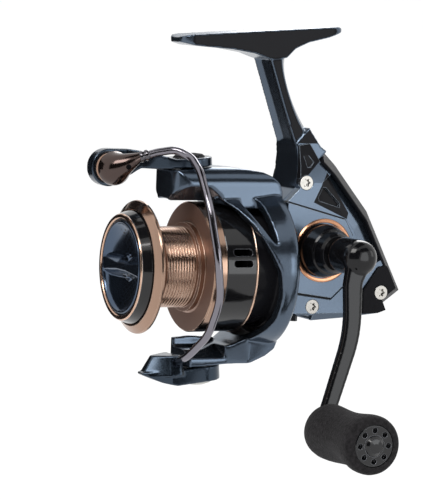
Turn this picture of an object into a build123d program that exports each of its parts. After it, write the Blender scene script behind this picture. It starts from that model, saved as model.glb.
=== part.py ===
from build123d import *
import os
from math import atan2, cos, degrees, hypot, pi, radians, sin, sqrt

# Open-face spinning reel, in millimetres.
# Origin: middle of the flat strip along the top of the foot.
# +X towards the handle, +Y rearwards, +Z up towards the rod.

os.makedirs("parts", exist_ok=True)

# ---------------------------------------------------------------- driving sizes
SHAFT_DROP = 81.4          # foot seat down to the main shaft's axis
LIP_AHEAD = 42.5           # spool lip ahead of the foot's middle
RUN = 0.05                 # radial clearance of a running fit
GAP = 0.3                  # air between parts that pass each other

FOOT_LENGTH = 62.0
FOOT_WIDTH = 14.6
FOOT_TILT = 4.2            # degrees, rear end high
FOOT_CORNER = 4.5
TROUGH_DEPTH = 0.8
TROUGH_FLAT = 4.0          # width of the flat strip in the trough

CASE_RIGHT = 12.0          # far wall's outer face, in -X
CASE_WALL = 2.2
COVER_IN = 8.0             # joint face between housing and side cover
COVER_OUT = 11.4
PANEL_RISE = 1.0
CASE_FRONT = 51.0
NOSE_FRONT = 38.6

SHAFT_R = 1.55
STROKE_FORWARD = 1.0       # spool travel ahead of and behind the rest place
STROKE_BACK = 8.0

CRANK_Y = 65.4             # crank axis behind the lip
CRANK_Z = 6.6              # crank axis above the main shaft
CRANK_R = 2.6
BEARING_R = 6.0            # outer radius of the crank bearings
BEARING_T = 3.0

GEAR_TEETH = 40
PINION_TEETH = 8
GEAR_FACE_IN = 11.2        # tooth ends, measured from the crank axis along the shaft
GEAR_FACE_OUT = 15.2
GEAR_R = 16.8
GEAR_TIP_X = 2.3           # plane of the drive gear's tooth tips
GEAR_TOOTH_H = 1.8
GEAR_WEB = 2.0
TOOTH_SHARE = 0.34         # tooth thickness as a share of the pitch
PINION_TIP_R = 3.05
PINION_ROOT_R = 2.2

OSC_MODULE = 0.65
OSC_PINION_TEETH = 12
OSC_GEAR_TEETH = 26
OSC_FACE = 2.2

SKIRT_R = 22.5
SKIRT_WALL = 1.2
LIP_R = SKIRT_R + 0.5
BAND_R = SKIRT_R + 0.1
ARBOR_R = LIP_R - 9.0
SKIRT_BACK = 36.0
LINE_GROOVES = 10
SLOT_PAIRS = 3

KNOB_R = LIP_R - 3.5
KNOB_RIM_R = KNOB_R - 1.1
KNOB_FRONT = -6.2

CUP_R = SKIRT_R - SKIRT_WALL - 0.9    # rotor's inner cup, outside radius
SHELL_IN = SKIRT_R + 1.2   # rotor's outer shell
SHELL_OUT = SHELL_IN + 3.7
ROTOR_BACK = 49.4
NOSE_R = CUP_R - 2.8       # housing's nose inside the cup
ARM_HALF = 11.5            # half width of a rotor arm
PIVOT_Y = 21.3             # bail axis behind the lip, at the shaft's height
PIVOT_TILT = 4.55          # degrees, upper end forward
ARM_TOP = SHELL_OUT + 7.2  # arm faces the bail turns on, along the bail axis
LOWER_ARM = ARM_TOP - 0.7

ROLLER_Y = -9.5
ROLLER_Z = ARM_TOP - 0.8
ROLLER_R = 5.6
HEAD_R = 6.5
WIRE_R = 1.35

ARM_LENGTH = 59.3          # crank axis to grip axis
GRIP_Y = 50.7
GRIP_IN = 48.4
GRIP_OUT = 83.0
GRIP_R = 9.4
HUB_R = 6.2

# ------------------------------------------------------------- derived places
SHAFT_Z = -SHAFT_DROP
LIP_Y = -LIP_AHEAD
GRIP_Z = CRANK_Z - sqrt(ARM_LENGTH ** 2 - (CRANK_Y - GRIP_Y) ** 2)
OSC_CENTRES = OSC_MODULE * (OSC_PINION_TEETH + OSC_GEAR_TEETH) / 2 + 0.1
OSC_Y = CRANK_Y + sqrt(OSC_CENTRES ** 2 - CRANK_Z ** 2)
STROKE = STROKE_FORWARD + STROKE_BACK
PIVOT_T = radians(PIVOT_TILT)
SLIDER_Y = OSC_Y - (STROKE_BACK - STROKE_FORWARD) / 2


def side(x=0.0):
    """Side view: sketch x runs rearwards, sketch y up, extrusions towards the handle."""
    return Plane(origin=(x, LIP_Y, SHAFT_Z), x_dir=(0, 1, 0), z_dir=(1, 0, 0))


def front(y=0.0):
    """Front view: sketch x towards the handle, sketch y up, extrusions forwards."""
    return Plane(origin=(0, LIP_Y + y, SHAFT_Z), x_dir=(1, 0, 0), z_dir=(0, -1, 0))


def level(z=0.0):
    """Plan view: sketch x towards the handle, sketch y rearwards, extrusions upwards."""
    return Plane(origin=(0, LIP_Y, SHAFT_Z + z), x_dir=(1, 0, 0), z_dir=(0, 0, 1))


def across(x, y, z):
    """Plane square to the crank axis through a point given from the lip and shaft."""
    return Plane(origin=(x, LIP_Y + y, SHAFT_Z + z), x_dir=(0, 1, 0), z_dir=(1, 0, 0))


SPOOL_AXIS = Axis((0, LIP_Y, SHAFT_Z), (0, 1, 0))


def x_axis(y, z):
    return Axis((0, LIP_Y + y, SHAFT_Z + z), (1, 0, 0))


def x_half_plane(y, z):
    """Half section plane of a turned part whose axis runs along X: (along X, radius)."""
    return Plane(origin=(0, LIP_Y + y, SHAFT_Z + z), x_dir=(1, 0, 0), z_dir=(0, -1, 0))


def pivot_point(h):
    return (0, LIP_Y + PIVOT_Y - h * sin(PIVOT_T), SHAFT_Z + h * cos(PIVOT_T))


def pivot(h=0.0):
    """Plane square to the bail axis: sketch x towards the handle, y rearwards from the axis."""
    return Plane(origin=pivot_point(h), x_dir=(1, 0, 0), z_dir=(0, -sin(PIVOT_T), cos(PIVOT_T)))


def pivot_side(x):
    """Side view turned to the bail axis: (behind the axis, along the axis)."""
    _, y, z = pivot_point(0)
    return Plane(origin=(x, y, z), x_dir=(0, cos(PIVOT_T), sin(PIVOT_T)), z_dir=(1, 0, 0))


def to_pivot(y, z):
    """Turn a place given from the lip and shaft into the bail axis's own side view."""
    back = y - PIVOT_Y
    return (back * cos(PIVOT_T) + z * sin(PIVOT_T), z * cos(PIVOT_T) - back * sin(PIVOT_T))


def turn(plane, axis, outline, mode=Mode.ADD):
    """Revolve a closed half section of (along, radius) points."""
    with BuildSketch(plane) as section_sketch:
        with BuildLine():
            Polyline(*outline, close=True)
        make_face()
    revolve(section_sketch.sketch, axis=axis, mode=mode)


def turn_y(outline, mode=Mode.ADD):
    turn(side(), SPOOL_AXIS, outline, mode)


def turn_x(y, z, outline, mode=Mode.ADD):
    turn(x_half_plane(y, z), x_axis(y, z), outline, mode)


def ring(start, end, r_in, r_out):
    return [(start, r_in), (end, r_in), (end, r_out), (start, r_out)]


def plate(plane, outline, thickness, mode=Mode.ADD):
    """Extrude a closed polygon."""
    with BuildSketch(plane) as outline_sketch:
        with BuildLine():
            Polyline(*outline, close=True)
        make_face()
    extrude(outline_sketch.sketch, amount=thickness, mode=mode)


def disc(plane, radius, thickness, hole=0.0, mode=Mode.ADD):
    with BuildSketch(plane) as disc_sketch:
        Circle(radius)
        if hole:
            Circle(hole, mode=Mode.SUBTRACT)
    extrude(disc_sketch.sketch, amount=thickness, mode=mode)


def keep(name, builder):
    """Label a finished piece and write it."""
    builder.part.label = name
    export_step(builder.part, f"parts/{name}.step")


# ============================================================ FRAME
# Side-view outlines, as (behind the lip, above the shaft).
REAR_LINE = [(64.3, 37.0), (69.0, 32.5), (81.9, 16.8), (93.9, -6.8), (88.6, -10.6)]
CASE_OUTLINE = (
    [(CASE_FRONT, -18.4), (CASE_FRONT, 23.5), (55.9, 28.0), (56.6, 34.0), (56.2, 39.5), (55.5, 43.0)]
    + [(60.5, 49.0), (65.2, 42.6), (67.7, 40.9)]
    + REAR_LINE
    + [(91.4, -14.6), (88.0, -15.8), (74.5, -17.4), (61.0, -18.4)]
)
CAVITY = [
    (53.2, -13.4), (53.2, 21.0), (57.0, 26.0), (64.0, 30.0), (68.0, 29.2),
    (79.6, 15.4), (90.9, -6.9), (86.6, -9.8), (88.6, -13.0), (74.5, -15.0), (63.5, -15.8), (63.5, -13.4),
]
CASE_FRONT_VIEW = [
    (-9.0, -18.4), (-CASE_RIGHT, -14.0), (-CASE_RIGHT, 29.0), (-8.0, 44.0), (-7.4, 50.0),
    (COVER_IN, 50.0), (COVER_IN, -18.4),
]
COVER_SCREWS = [(58.4, 30.1, 0.0), (62.5, -13.2, 0.0), (89.0, -8.4, 0.9)]
SCREW_R = 1.25
SCREW_HEAD_R = 2.45
SCREW_HEAD_T = 1.5

# Stem sections: height, front edge, half width, depth to the rear ridge.
STEM = [
    (77.5, 43.2, 7.0, 11.5), (73.0, 44.7, 7.0, 7.6), (66.0, 47.2, 7.0, 5.6), (58.0, 50.0, 7.0, 5.7),
    (50.0, 52.9, 7.2, 7.3), (41.0, 55.9, 7.4, 10.0),
]

CLUTCH_R = 7.0
PINION_BODY_R = 3.1
BUSHING_R = 2.8
BUSHING = (56.0, 58.4)
ROD_Z = -9.0
ROD_R = 1.2
ROD = (56.5, 88.0)
LEVER_Y = 56.0
LEVER_X = 4.0
LEVER_POCKET = (53.2, 63.2)
LEVER_TOP = -16.2
LEVER_PIN_R = 1.2

foot_t = radians(FOOT_TILT)
foot_side = Plane(origin=(0, 0, 0), x_dir=(0, cos(foot_t), sin(foot_t)), z_dir=(1, 0, 0))
foot_plan = Plane(origin=(0, 0, 0), x_dir=(1, 0, 0), z_dir=(0, -sin(foot_t), cos(foot_t)))
foot_end = Plane(origin=(0, 0, 0), x_dir=(1, 0, 0), z_dir=(0, -cos(foot_t), -sin(foot_t)))

with BuildPart() as body_housing:
    # gear case and the tapering root of the stem
    plate(side(-CASE_RIGHT), CASE_OUTLINE, CASE_RIGHT + COVER_IN)
    plate(front(CASE_FRONT), CASE_FRONT_VIEW, -60.0, mode=Mode.INTERSECT)
    # stem
    for height, edge, half, depth in STEM:
        with BuildSketch(level(height)):
            with BuildLine():
                Polyline(
                    (-half, edge), (-half * 0.45, edge + 1.1), (half * 0.45, edge + 1.1), (half, edge),
                    (half, edge + depth * 0.6), (2.8, edge + depth), (-2.8, edge + depth),
                    (-half, edge + depth * 0.6), close=True,
                )
            make_face()
    loft()
    # foot
    half_foot = FOOT_LENGTH / 2
    foot = [
        (-half_foot, TROUGH_DEPTH), (half_foot, TROUGH_DEPTH), (half_foot, -1.0), (24.5, -2.8), (16.6, -4.1),
        (11.5, -6.0), (8.0, -9.0), (1.0, -9.0), (-4.0, -6.9), (-12.4, -5.0), (-26.3, -3.1),
        (-half_foot, -1.7),
    ]
    plate(foot_side.offset(-FOOT_WIDTH / 2), foot, FOOT_WIDTH)
    # nose that carries the clutch
    disc(front(CASE_FRONT), NOSE_R, CASE_FRONT - NOSE_FRONT)
    # inside
    plate(side(-CASE_RIGHT + CASE_WALL), CAVITY, CASE_RIGHT - CASE_WALL + COVER_IN, mode=Mode.SUBTRACT)
    disc(across(GEAR_TIP_X - 0.4, CRANK_Y, CRANK_Z), GEAR_R + GAP, 4.6, mode=Mode.SUBTRACT)
    disc(front(CASE_FRONT + 5), PINION_TIP_R + 0.6, 9.6, mode=Mode.SUBTRACT)
    disc(front(46.4), CLUTCH_R, 46.4 - NOSE_FRONT, mode=Mode.SUBTRACT)
    # crank bearing seat in the far wall
    disc(across(-CASE_RIGHT + CASE_WALL, CRANK_Y, CRANK_Z), BEARING_R + 1.6, 1.4)
    disc(across(-CASE_RIGHT, CRANK_Y, CRANK_Z), BEARING_R, 3.4, mode=Mode.SUBTRACT)
    disc(across(-CASE_RIGHT, CRANK_Y, CRANK_Z), BEARING_R - 1.6, 4.0, mode=Mode.SUBTRACT)
    # web for the pinion bushing and the guide rod's front end
    plate(
        front(58.4),
        [(-CASE_RIGHT + CASE_WALL, -11.8), (2.0, -11.8), (2.0, 4.4), (-CASE_RIGHT + CASE_WALL, 4.4)],
        2.4,
    )
    disc(front(58.4), BUSHING_R, 2.4, mode=Mode.SUBTRACT)
    # boss for the oscillation gear's axle
    disc(across(-CASE_RIGHT + CASE_WALL, OSC_Y, 0), 3.4, 2.4)
    disc(across(-CASE_RIGHT + 1.0, OSC_Y, 0), 1.8, 4.0, mode=Mode.SUBTRACT)
    # screw bosses
    for (y, z, _), boss_r in zip(COVER_SCREWS[1:], (2.4, 1.5)):
        disc(across(-CASE_RIGHT + CASE_WALL, y, z), boss_r, CASE_RIGHT - CASE_WALL + COVER_IN)
    for y, z, _ in COVER_SCREWS:
        disc(across(COVER_IN - 6.0, y, z), SCREW_R, 6.0, mode=Mode.SUBTRACT)
    with BuildSketch(front(ROD[1])):
        with Locations((0, ROD_Z)):
            Circle(ROD_R)
    extrude(amount=ROD[1] - ROD[0], mode=Mode.SUBTRACT)
    # pocket and pivot hole of the small lever
    plate(
        level(-18.6),
        [(-2.0, LEVER_POCKET[0]), (COVER_IN, LEVER_POCKET[0]), (COVER_IN, LEVER_POCKET[1]),
         (-2.0, LEVER_POCKET[1])],
        18.6 + LEVER_TOP,
        mode=Mode.SUBTRACT,
    )
    with BuildSketch(level(LEVER_TOP)):
        with Locations((LEVER_X, LEVER_Y)):
            Circle(LEVER_PIN_R + RUN)
    extrude(amount=1.6, mode=Mode.SUBTRACT)
    # trough along the top of the foot, and its rounded plan
    half_trough = FOOT_WIDTH / 2 - 0.6
    plate(
        foot_end.offset(-half_foot - 1),
        [
            (-TROUGH_FLAT / 2, 0), (TROUGH_FLAT / 2, 0), (half_trough, TROUGH_DEPTH),
            (half_trough, 3.0), (-half_trough, 3.0), (-half_trough, TROUGH_DEPTH),
        ],
        FOOT_LENGTH + 2,
        mode=Mode.SUBTRACT,
    )
    with BuildSketch(foot_plan.offset(-3.4)):
        Rectangle(FOOT_WIDTH + 4, FOOT_LENGTH + 4)
        RectangleRounded(FOOT_WIDTH, FOOT_LENGTH, FOOT_CORNER, mode=Mode.SUBTRACT)
    extrude(amount=6.0, mode=Mode.SUBTRACT)
keep("body_housing", body_housing)

COVER_OUTLINE = (
    [(CASE_FRONT + 0.2, -18.4), (CASE_FRONT + 0.2, 23.2), (55.9, 28.0), (56.4, 36.0), (56.2, 43.0),
     (60.4, 43.6)]
    + REAR_LINE
    + [(91.4, -14.6), (88.0, -15.8), (74.5, -17.4), (61.0, -18.4)]
)
PANEL = [
    (CASE_FRONT + 0.2, 23.2), (73.7, 17.2), (76.8, 11.5), (79.5, 2.5), (76.5, -3.2), (72.6, -6.8),
    (69.2, -10.0),
    (CASE_FRONT + 0.2, -7.4),
]
WINDOWS = [
    [(57.7, 41.8), (57.4, 40.6), (59.0, 35.4), (60.2, 35.4), (61.6, 37.2)],
    [(64.9, 28.6), (66.2, 28.4), (72.0, 22.6), (71.6, 21.5), (63.7, 23.8), (63.2, 24.8)],
]
RING_R = 11.1
COLLAR_R = 9.4
# Groove under the panel, and the bevel along the cover's rear edge.
CHEVRON = [
    (CASE_FRONT + 0.2, -7.4), (69.2, -10.0), (72.6, -6.8), (76.5, -3.2), (77.1, -3.8), (73.2, -7.5),
    (69.5, -10.9),
    (CASE_FRONT + 0.2, -8.3),
]
EDGE_BEVEL_W = 5.4
EDGE_BEVEL_T = 1.9
EDGE_BEVEL_END = 3.0       # height above the shaft where the bevel stops
PANEL_OUT = COVER_OUT + PANEL_RISE

with BuildPart() as side_cover:
    plate(side(COVER_IN), COVER_OUTLINE, COVER_OUT - COVER_IN)
    plate(
        front(CASE_FRONT),
        [(COVER_IN, -18.4), (COVER_OUT - 2.4, -18.4), (COVER_OUT, -15.5), (COVER_OUT, 30.0),
         (COVER_IN + 0.8, 44.0),
         (COVER_IN, 44.0)],
        -60.0,
        mode=Mode.INTERSECT,
    )
    plate(side(COVER_OUT), PANEL, PANEL_RISE)
    disc(across(COVER_IN, CRANK_Y, CRANK_Z), BEARING_R, 3.6, mode=Mode.SUBTRACT)
    disc(across(COVER_IN, CRANK_Y, CRANK_Z), CRANK_R + 0.6, 6.0, mode=Mode.SUBTRACT)
    disc(across(PANEL_OUT - 0.8, CRANK_Y, CRANK_Z), RING_R, 2.0, mode=Mode.SUBTRACT)
    for window in WINDOWS:
        plate(side(COVER_OUT - 1.8), window, 4.0, mode=Mode.SUBTRACT)
    plate(side(COVER_OUT - 0.9), CHEVRON, 1.0, mode=Mode.SUBTRACT)
    for (y1, z1), (y2, z2) in zip(REAR_LINE[1:3], REAR_LINE[2:4]):
        along_edge = Plane(
            origin=(COVER_OUT, LIP_Y + y1, SHAFT_Z + z1), x_dir=(1, 0, 0), z_dir=(0, y2 - y1, z2 - z1),
        )
        length = hypot(y2 - y1, z2 - z1) * min(1.0, (z1 - EDGE_BEVEL_END) / (z1 - z2))
        bevel = [
            (0.0, EDGE_BEVEL_W), (1.0, EDGE_BEVEL_W), (1.0, -2.0), (-EDGE_BEVEL_T, -2.0), (-EDGE_BEVEL_T, 0.0),
        ]
        plate(along_edge.offset(-1.0), bevel, length + 1.0, mode=Mode.SUBTRACT)
    for y, z, lift in COVER_SCREWS:
        disc(across(COVER_IN, y, z), SCREW_R, 6.0, mode=Mode.SUBTRACT)
        disc(across(COVER_OUT - SCREW_HEAD_T + lift, y, z), SCREW_HEAD_R + 0.15, 3.0, mode=Mode.SUBTRACT)
    plate(
        level(-18.6),
        [(COVER_IN, LEVER_POCKET[0]), (14.0, LEVER_POCKET[0]), (14.0, LEVER_POCKET[1]),
         (COVER_IN, LEVER_POCKET[1])],
        18.6 + LEVER_TOP,
        mode=Mode.SUBTRACT,
    )
keep("side_cover", side_cover)

EAR = [
    (91.2, 1.0), (87.9, 0.8), (81.8, -7.7), (81.9, -15.9), (88.0, -15.7), (91.3, -14.6), (89.6, -10.8),
    (95.0, -6.9),
]
REAR_DEPTH = 5.2
EAR_T = 0.9

with BuildPart() as rear_cover:
    run_y = REAR_LINE[1][0] - REAR_LINE[0][0]
    run_z = REAR_LINE[1][1] - REAR_LINE[0][1]
    with BuildLine(side()) as rear_path:
        Polyline(*REAR_LINE)
    start = side().from_local_coords(Vector(REAR_LINE[0][0], REAR_LINE[0][1], 0))
    section = Plane(origin=start, x_dir=(-1, 0, 0), z_dir=(0, run_y, run_z))
    with BuildSketch(section):
        with BuildLine():
            Polyline(
                (-CASE_RIGHT, 0), (-CASE_RIGHT, 0.6), (-4.0, REAR_DEPTH), (4.0, REAR_DEPTH),
                (CASE_RIGHT, 0.6),
                (CASE_RIGHT, 0), (7.0, 0), (4.6, REAR_DEPTH - 1.8), (-4.6, REAR_DEPTH - 1.8),
                (-7.0, 0), close=True,
            )
        make_face()
    sweep(path=rear_path.line, transition=Transition.RIGHT)
    plate(side(COVER_OUT), EAR, EAR_T)
    y, z, lift = COVER_SCREWS[2]
    disc(across(COVER_OUT - 1.0, y, z), SCREW_HEAD_R + 0.15, 3.0, mode=Mode.SUBTRACT)
keep("rear_cover", rear_cover)

with BuildPart() as cover_screws:
    for y, z, lift in COVER_SCREWS:
        top = COVER_OUT + lift
        disc(across(top - SCREW_HEAD_T - 6.6, y, z), SCREW_R, 6.6)
        disc(across(top - SCREW_HEAD_T, y, z), SCREW_HEAD_R, SCREW_HEAD_T)
        with BuildSketch(across(top, y, z)):
            RegularPolygon(1.25, 6)
            with PolarLocations(0, 6):
                Rectangle(2.9, 0.5)
        extrude(amount=-0.9, mode=Mode.SUBTRACT)
keep("cover_screws", cover_screws)

with BuildPart() as crank_ring:
    turn_x(CRANK_Y, CRANK_Z, [
        (PANEL_OUT - 0.8, COLLAR_R + 0.35), (PANEL_OUT + 0.3, COLLAR_R + 0.35),
        (PANEL_OUT + 0.4, RING_R - 0.5),
        (PANEL_OUT, RING_R), (PANEL_OUT - 0.8, RING_R),
    ])
keep("crank_ring", crank_ring)

BEARING_BORE = CRANK_R + RUN
with BuildPart() as crank_bearings:
    for start in (-CASE_RIGHT + 0.4, COVER_IN + 0.6):
        end = start + BEARING_T
        turn_x(CRANK_Y, CRANK_Z, [
            (start, BEARING_BORE), (end, BEARING_BORE), (end, 3.6), (end - 0.3, 3.8), (end - 0.3, 4.9),
            (end, 5.1),
            (end, BEARING_R), (start, BEARING_R), (start, 5.1), (start + 0.3, 4.9), (start + 0.3, 3.8),
            (start, 3.6),
        ])
keep("crank_bearings", crank_bearings)

with BuildPart() as axle_cap:
    turn_x(CRANK_Y, CRANK_Z, [
        (-CASE_RIGHT + 0.35, 0), (-CASE_RIGHT + 0.35, BEARING_R - 0.1), (-CASE_RIGHT, BEARING_R - 0.1),
        (-CASE_RIGHT, 8.2), (-CASE_RIGHT - 1.2, 8.2), (-CASE_RIGHT - 2.2, 6.6), (-CASE_RIGHT - 2.2, 0),
    ])
    with BuildSketch(across(-CASE_RIGHT - 2.2, CRANK_Y, CRANK_Z)):
        Rectangle(9.0, 1.6)
    extrude(amount=0.9, mode=Mode.SUBTRACT)
keep("axle_cap", axle_cap)

with BuildPart() as pinion_bearing:
    bore = PINION_BODY_R + RUN
    turn_y([
        (38.8, bore), (41.8, bore), (41.8, 4.4), (41.5, 4.6), (41.5, 5.7), (41.8, 5.9), (41.8, CLUTCH_R),
        (38.8, CLUTCH_R), (38.8, 5.9), (39.1, 5.7), (39.1, 4.6), (38.8, 4.4),
    ])
keep("pinion_bearing", pinion_bearing)

with BuildPart() as anti_reverse_clutch:
    turn_y(ring(42.0, 46.4, 5.6, CLUTCH_R))
    with BuildSketch(front(46.4)):
        with PolarLocations(PINION_BODY_R + RUN + 1.05, 9):
            Circle(1.0)
    extrude(amount=4.4)
    turn_y(ring(45.9, 46.4, 4.2, 5.7))
keep("anti_reverse_clutch", anti_reverse_clutch)

RETAINER_SCREWS = 3
with BuildPart() as clutch_retainer:
    disc(front(NOSE_FRONT), 13.4, 0.9, hole=PINION_BODY_R + 0.8)
    with BuildSketch(front(NOSE_FRONT)):
        with PolarLocations(10.4, RETAINER_SCREWS, start_angle=90):
            Circle(1.0)
    extrude(amount=0.9, mode=Mode.SUBTRACT)
keep("clutch_retainer", clutch_retainer)

with BuildPart() as retainer_screws:
    with BuildSketch(front(NOSE_FRONT)):
        with PolarLocations(10.4, RETAINER_SCREWS, start_angle=90):
            Circle(1.0)
    extrude(amount=0.9)
    with BuildSketch(front(NOSE_FRONT - 0.9)):
        with PolarLocations(10.4, RETAINER_SCREWS, start_angle=90):
            Circle(1.9)
    extrude(amount=0.9)
    with BuildSketch(front(NOSE_FRONT - 1.8)):
        with PolarLocations(10.4, RETAINER_SCREWS, start_angle=90):
            Rectangle(2.4, 0.45)
            Rectangle(0.45, 2.4)
    extrude(amount=-0.5, mode=Mode.SUBTRACT)
keep("retainer_screws", retainer_screws)

with BuildPart() as pinion_bushing:
    turn_y(ring(BUSHING[0], BUSHING[1], PINION_ROOT_R + RUN, BUSHING_R))
keep("pinion_bushing", pinion_bushing)

with BuildPart() as guide_rod:
    with BuildSketch(front(ROD[1])):
        with Locations((0, ROD_Z)):
            Circle(ROD_R)
    extrude(amount=ROD[1] - ROD[0])
keep("guide_rod", guide_rod)

OSC_GEAR_X = -7.2          # far face of the oscillation gears
with BuildPart() as oscillation_axle:
    disc(across(-CASE_RIGHT + 1.0, OSC_Y, 0), 1.8, CASE_RIGHT - 1.0 + OSC_GEAR_X + OSC_FACE - 0.2)
keep("oscillation_axle", oscillation_axle)

with BuildPart() as brake_ring:
    turn_y(ring(CASE_FRONT - 2.4, CASE_FRONT - 0.8, NOSE_R, NOSE_R + 0.5))
keep("brake_ring", brake_ring)

with BuildPart() as anti_reverse_lever:
    lever_t = 1.8
    with BuildSketch(level(LEVER_TOP - 0.2 - lever_t)):
        with Locations((LEVER_X, LEVER_Y)):
            Circle(2.6)
        with BuildLine():
            Polyline((LEVER_X, LEVER_Y - 1.6), (LEVER_X + 6.6, LEVER_Y - 1.2), (LEVER_X + 7.6, LEVER_Y),
                     (LEVER_X + 6.6, LEVER_Y + 1.2), (LEVER_X, LEVER_Y + 1.6), close=True)
        make_face()
    extrude(amount=lever_t)
    with BuildSketch(level(LEVER_TOP - 0.2)):
        with Locations((LEVER_X, LEVER_Y)):
            Circle(LEVER_PIN_R)
    extrude(amount=1.6)
keep("anti_reverse_lever", anti_reverse_lever)

# ============================================================ CRANK
GEAR_BACK = GEAR_TIP_X + GEAR_TOOTH_H
with BuildPart() as drive_gear:
    turn_x(CRANK_Y, CRANK_Z, [
        (GEAR_BACK, CRANK_R), (GEAR_BACK, GEAR_R), (GEAR_BACK + GEAR_WEB, GEAR_R),
        (GEAR_BACK + GEAR_WEB, 4.6),
        (COVER_IN + 0.3, 4.6), (COVER_IN + 0.3, CRANK_R),
    ])
    pitch = 2 * pi / GEAR_TEETH
    half_in = GEAR_FACE_IN * pitch * TOOTH_SHARE / 2
    half_out = GEAR_FACE_OUT * pitch * TOOTH_SHARE / 2
    with BuildSketch(across(GEAR_BACK, CRANK_Y, CRANK_Z)):
        with PolarLocations(0, GEAR_TEETH):
            Polygon(
                (-GEAR_FACE_IN, -CRANK_Z - half_in), (-GEAR_FACE_OUT, -CRANK_Z - half_out),
                (-GEAR_FACE_OUT, -CRANK_Z + half_out), (-GEAR_FACE_IN, -CRANK_Z + half_in), align=None,
            )
    extrude(amount=-GEAR_TOOTH_H)
keep("drive_gear", drive_gear)

ARM_IN_HUB = 40.0
SHAFT_END = 36.0
with BuildPart() as crank_shaft:
    disc(across(-CASE_RIGHT + 0.6, CRANK_Y, CRANK_Z), CRANK_R, SHAFT_END + CASE_RIGHT - 0.6)
keep("crank_shaft", crank_shaft)


def spur(y, z, x, teeth, module, width, bore):
    """Spur gear with straight-sided teeth on an axis along X, one tooth pointing rearwards."""
    pitch_r = teeth * module / 2
    root = pitch_r - 1.15 * module
    tip = pitch_r + 0.85 * module
    with BuildSketch(across(x, y, z)) as spur_sketch:
        Circle(root)
        with PolarLocations(0, teeth):
            Polygon(
                (root - 0.3, -0.66 * module), (tip, -0.34 * module), (tip, 0.34 * module),
                (root - 0.3, 0.66 * module),
                align=None,
            )
        Circle(bore, mode=Mode.SUBTRACT)
    extrude(spur_sketch.sketch, amount=width)


mesh_angle = degrees(atan2(-CRANK_Z, OSC_Y - CRANK_Y))
with BuildPart() as oscillation_pinion:
    spur(CRANK_Y, CRANK_Z, OSC_GEAR_X, OSC_PINION_TEETH, OSC_MODULE, OSC_FACE, CRANK_R)
oscillation_pinion.part = oscillation_pinion.part.rotate(x_axis(CRANK_Y, CRANK_Z), mesh_angle)
keep("oscillation_pinion", oscillation_pinion)

with BuildPart() as crank_collar:
    turn_x(CRANK_Y, CRANK_Z, [
        (PANEL_OUT - 0.4, CRANK_R), (PANEL_OUT - 0.4, COLLAR_R), (PANEL_OUT + 2.6, COLLAR_R - 0.2),
        (19.5, 8.0),
        (20.0, 7.4), (23.6, 6.9), (24.6, 6.2), (24.6, CRANK_R),
    ])
keep("crank_collar", crank_collar)

ARM_T = 3.6
ARM_OUT = 46.6             # middle of the arm at the grip
ARM_BEND_R = 45.0
with BuildPart() as handle_arm:
    # the arm in side view, kept between two slanting planes
    with BuildSketch(side(30.0)) as arm_side:
        with BuildLine():
            Polyline(
                (CRANK_Y - 4.6, CRANK_Z), (CRANK_Y - 6.4, -2.0), (CRANK_Y - 6.4, -18.0),
                (GRIP_Y - 3.6, GRIP_Z),
                (GRIP_Y + 1.8, GRIP_Z), (CRANK_Y - 0.6, -19.5), (CRANK_Y + 0.2, -2.0),
                (CRANK_Y + 4.6, CRANK_Z),
                close=True,
            )
        make_face()
        bends = arm_side.vertices().filter_by_position(Axis.Y, -20.0, -17.0)
        fillet(bends, ARM_BEND_R)
        with Locations((GRIP_Y, GRIP_Z)):
            Circle(4.2)
    extrude(amount=25.0)
    with BuildSketch(front(CRANK_Y + 10)):
        with BuildLine():
            Polyline(
                (ARM_IN_HUB - ARM_T / 2, CRANK_Z), (ARM_OUT - ARM_T / 2 - 0.4, GRIP_Z + 4.5),
                (ARM_OUT - ARM_T / 2 - 0.4, GRIP_Z - 6.0), (ARM_OUT + ARM_T / 2 - 0.4, GRIP_Z - 6.0),
                (ARM_OUT + ARM_T / 2 - 0.4, GRIP_Z + 4.5), (ARM_IN_HUB + ARM_T / 2, CRANK_Z), close=True,
            )
        make_face()
    extrude(amount=40.0, mode=Mode.INTERSECT)
    # hub with a domed end and a narrow waist
    turn_x(CRANK_Y, CRANK_Z, [
        (24.6, 0), (24.6, 5.0), (26.8, 5.0), (27.2, 5.9), (28.0, HUB_R), (39.6, HUB_R), (41.6, 5.8),
        (43.2, 4.2),
        (43.8, 2.2), (43.9, 0),
    ])
    disc(across(24.0, CRANK_Y, CRANK_Z), CRANK_R, SHAFT_END - 24.0, mode=Mode.SUBTRACT)
    disc(across(GRIP_IN - 20, GRIP_Y, GRIP_Z), 2.0, 30.0, mode=Mode.SUBTRACT)
keep("handle_arm", handle_arm)

AXLE_END = 73.0
with BuildPart() as grip_axle:
    disc(across(ARM_OUT - ARM_T / 2 - 0.4, GRIP_Y, GRIP_Z), 2.0, AXLE_END - ARM_OUT + ARM_T / 2 + 0.4)
keep("grip_axle", grip_axle)

with BuildPart() as grip_axle_screw:
    disc(across(AXLE_END, GRIP_Y, GRIP_Z), 2.9, 1.4)
    with BuildSketch(across(AXLE_END + 1.4, GRIP_Y, GRIP_Z)):
        Rectangle(4.0, 0.7)
    extrude(amount=-0.7, mode=Mode.SUBTRACT)
keep("grip_axle_screw", grip_axle_screw)

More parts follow.
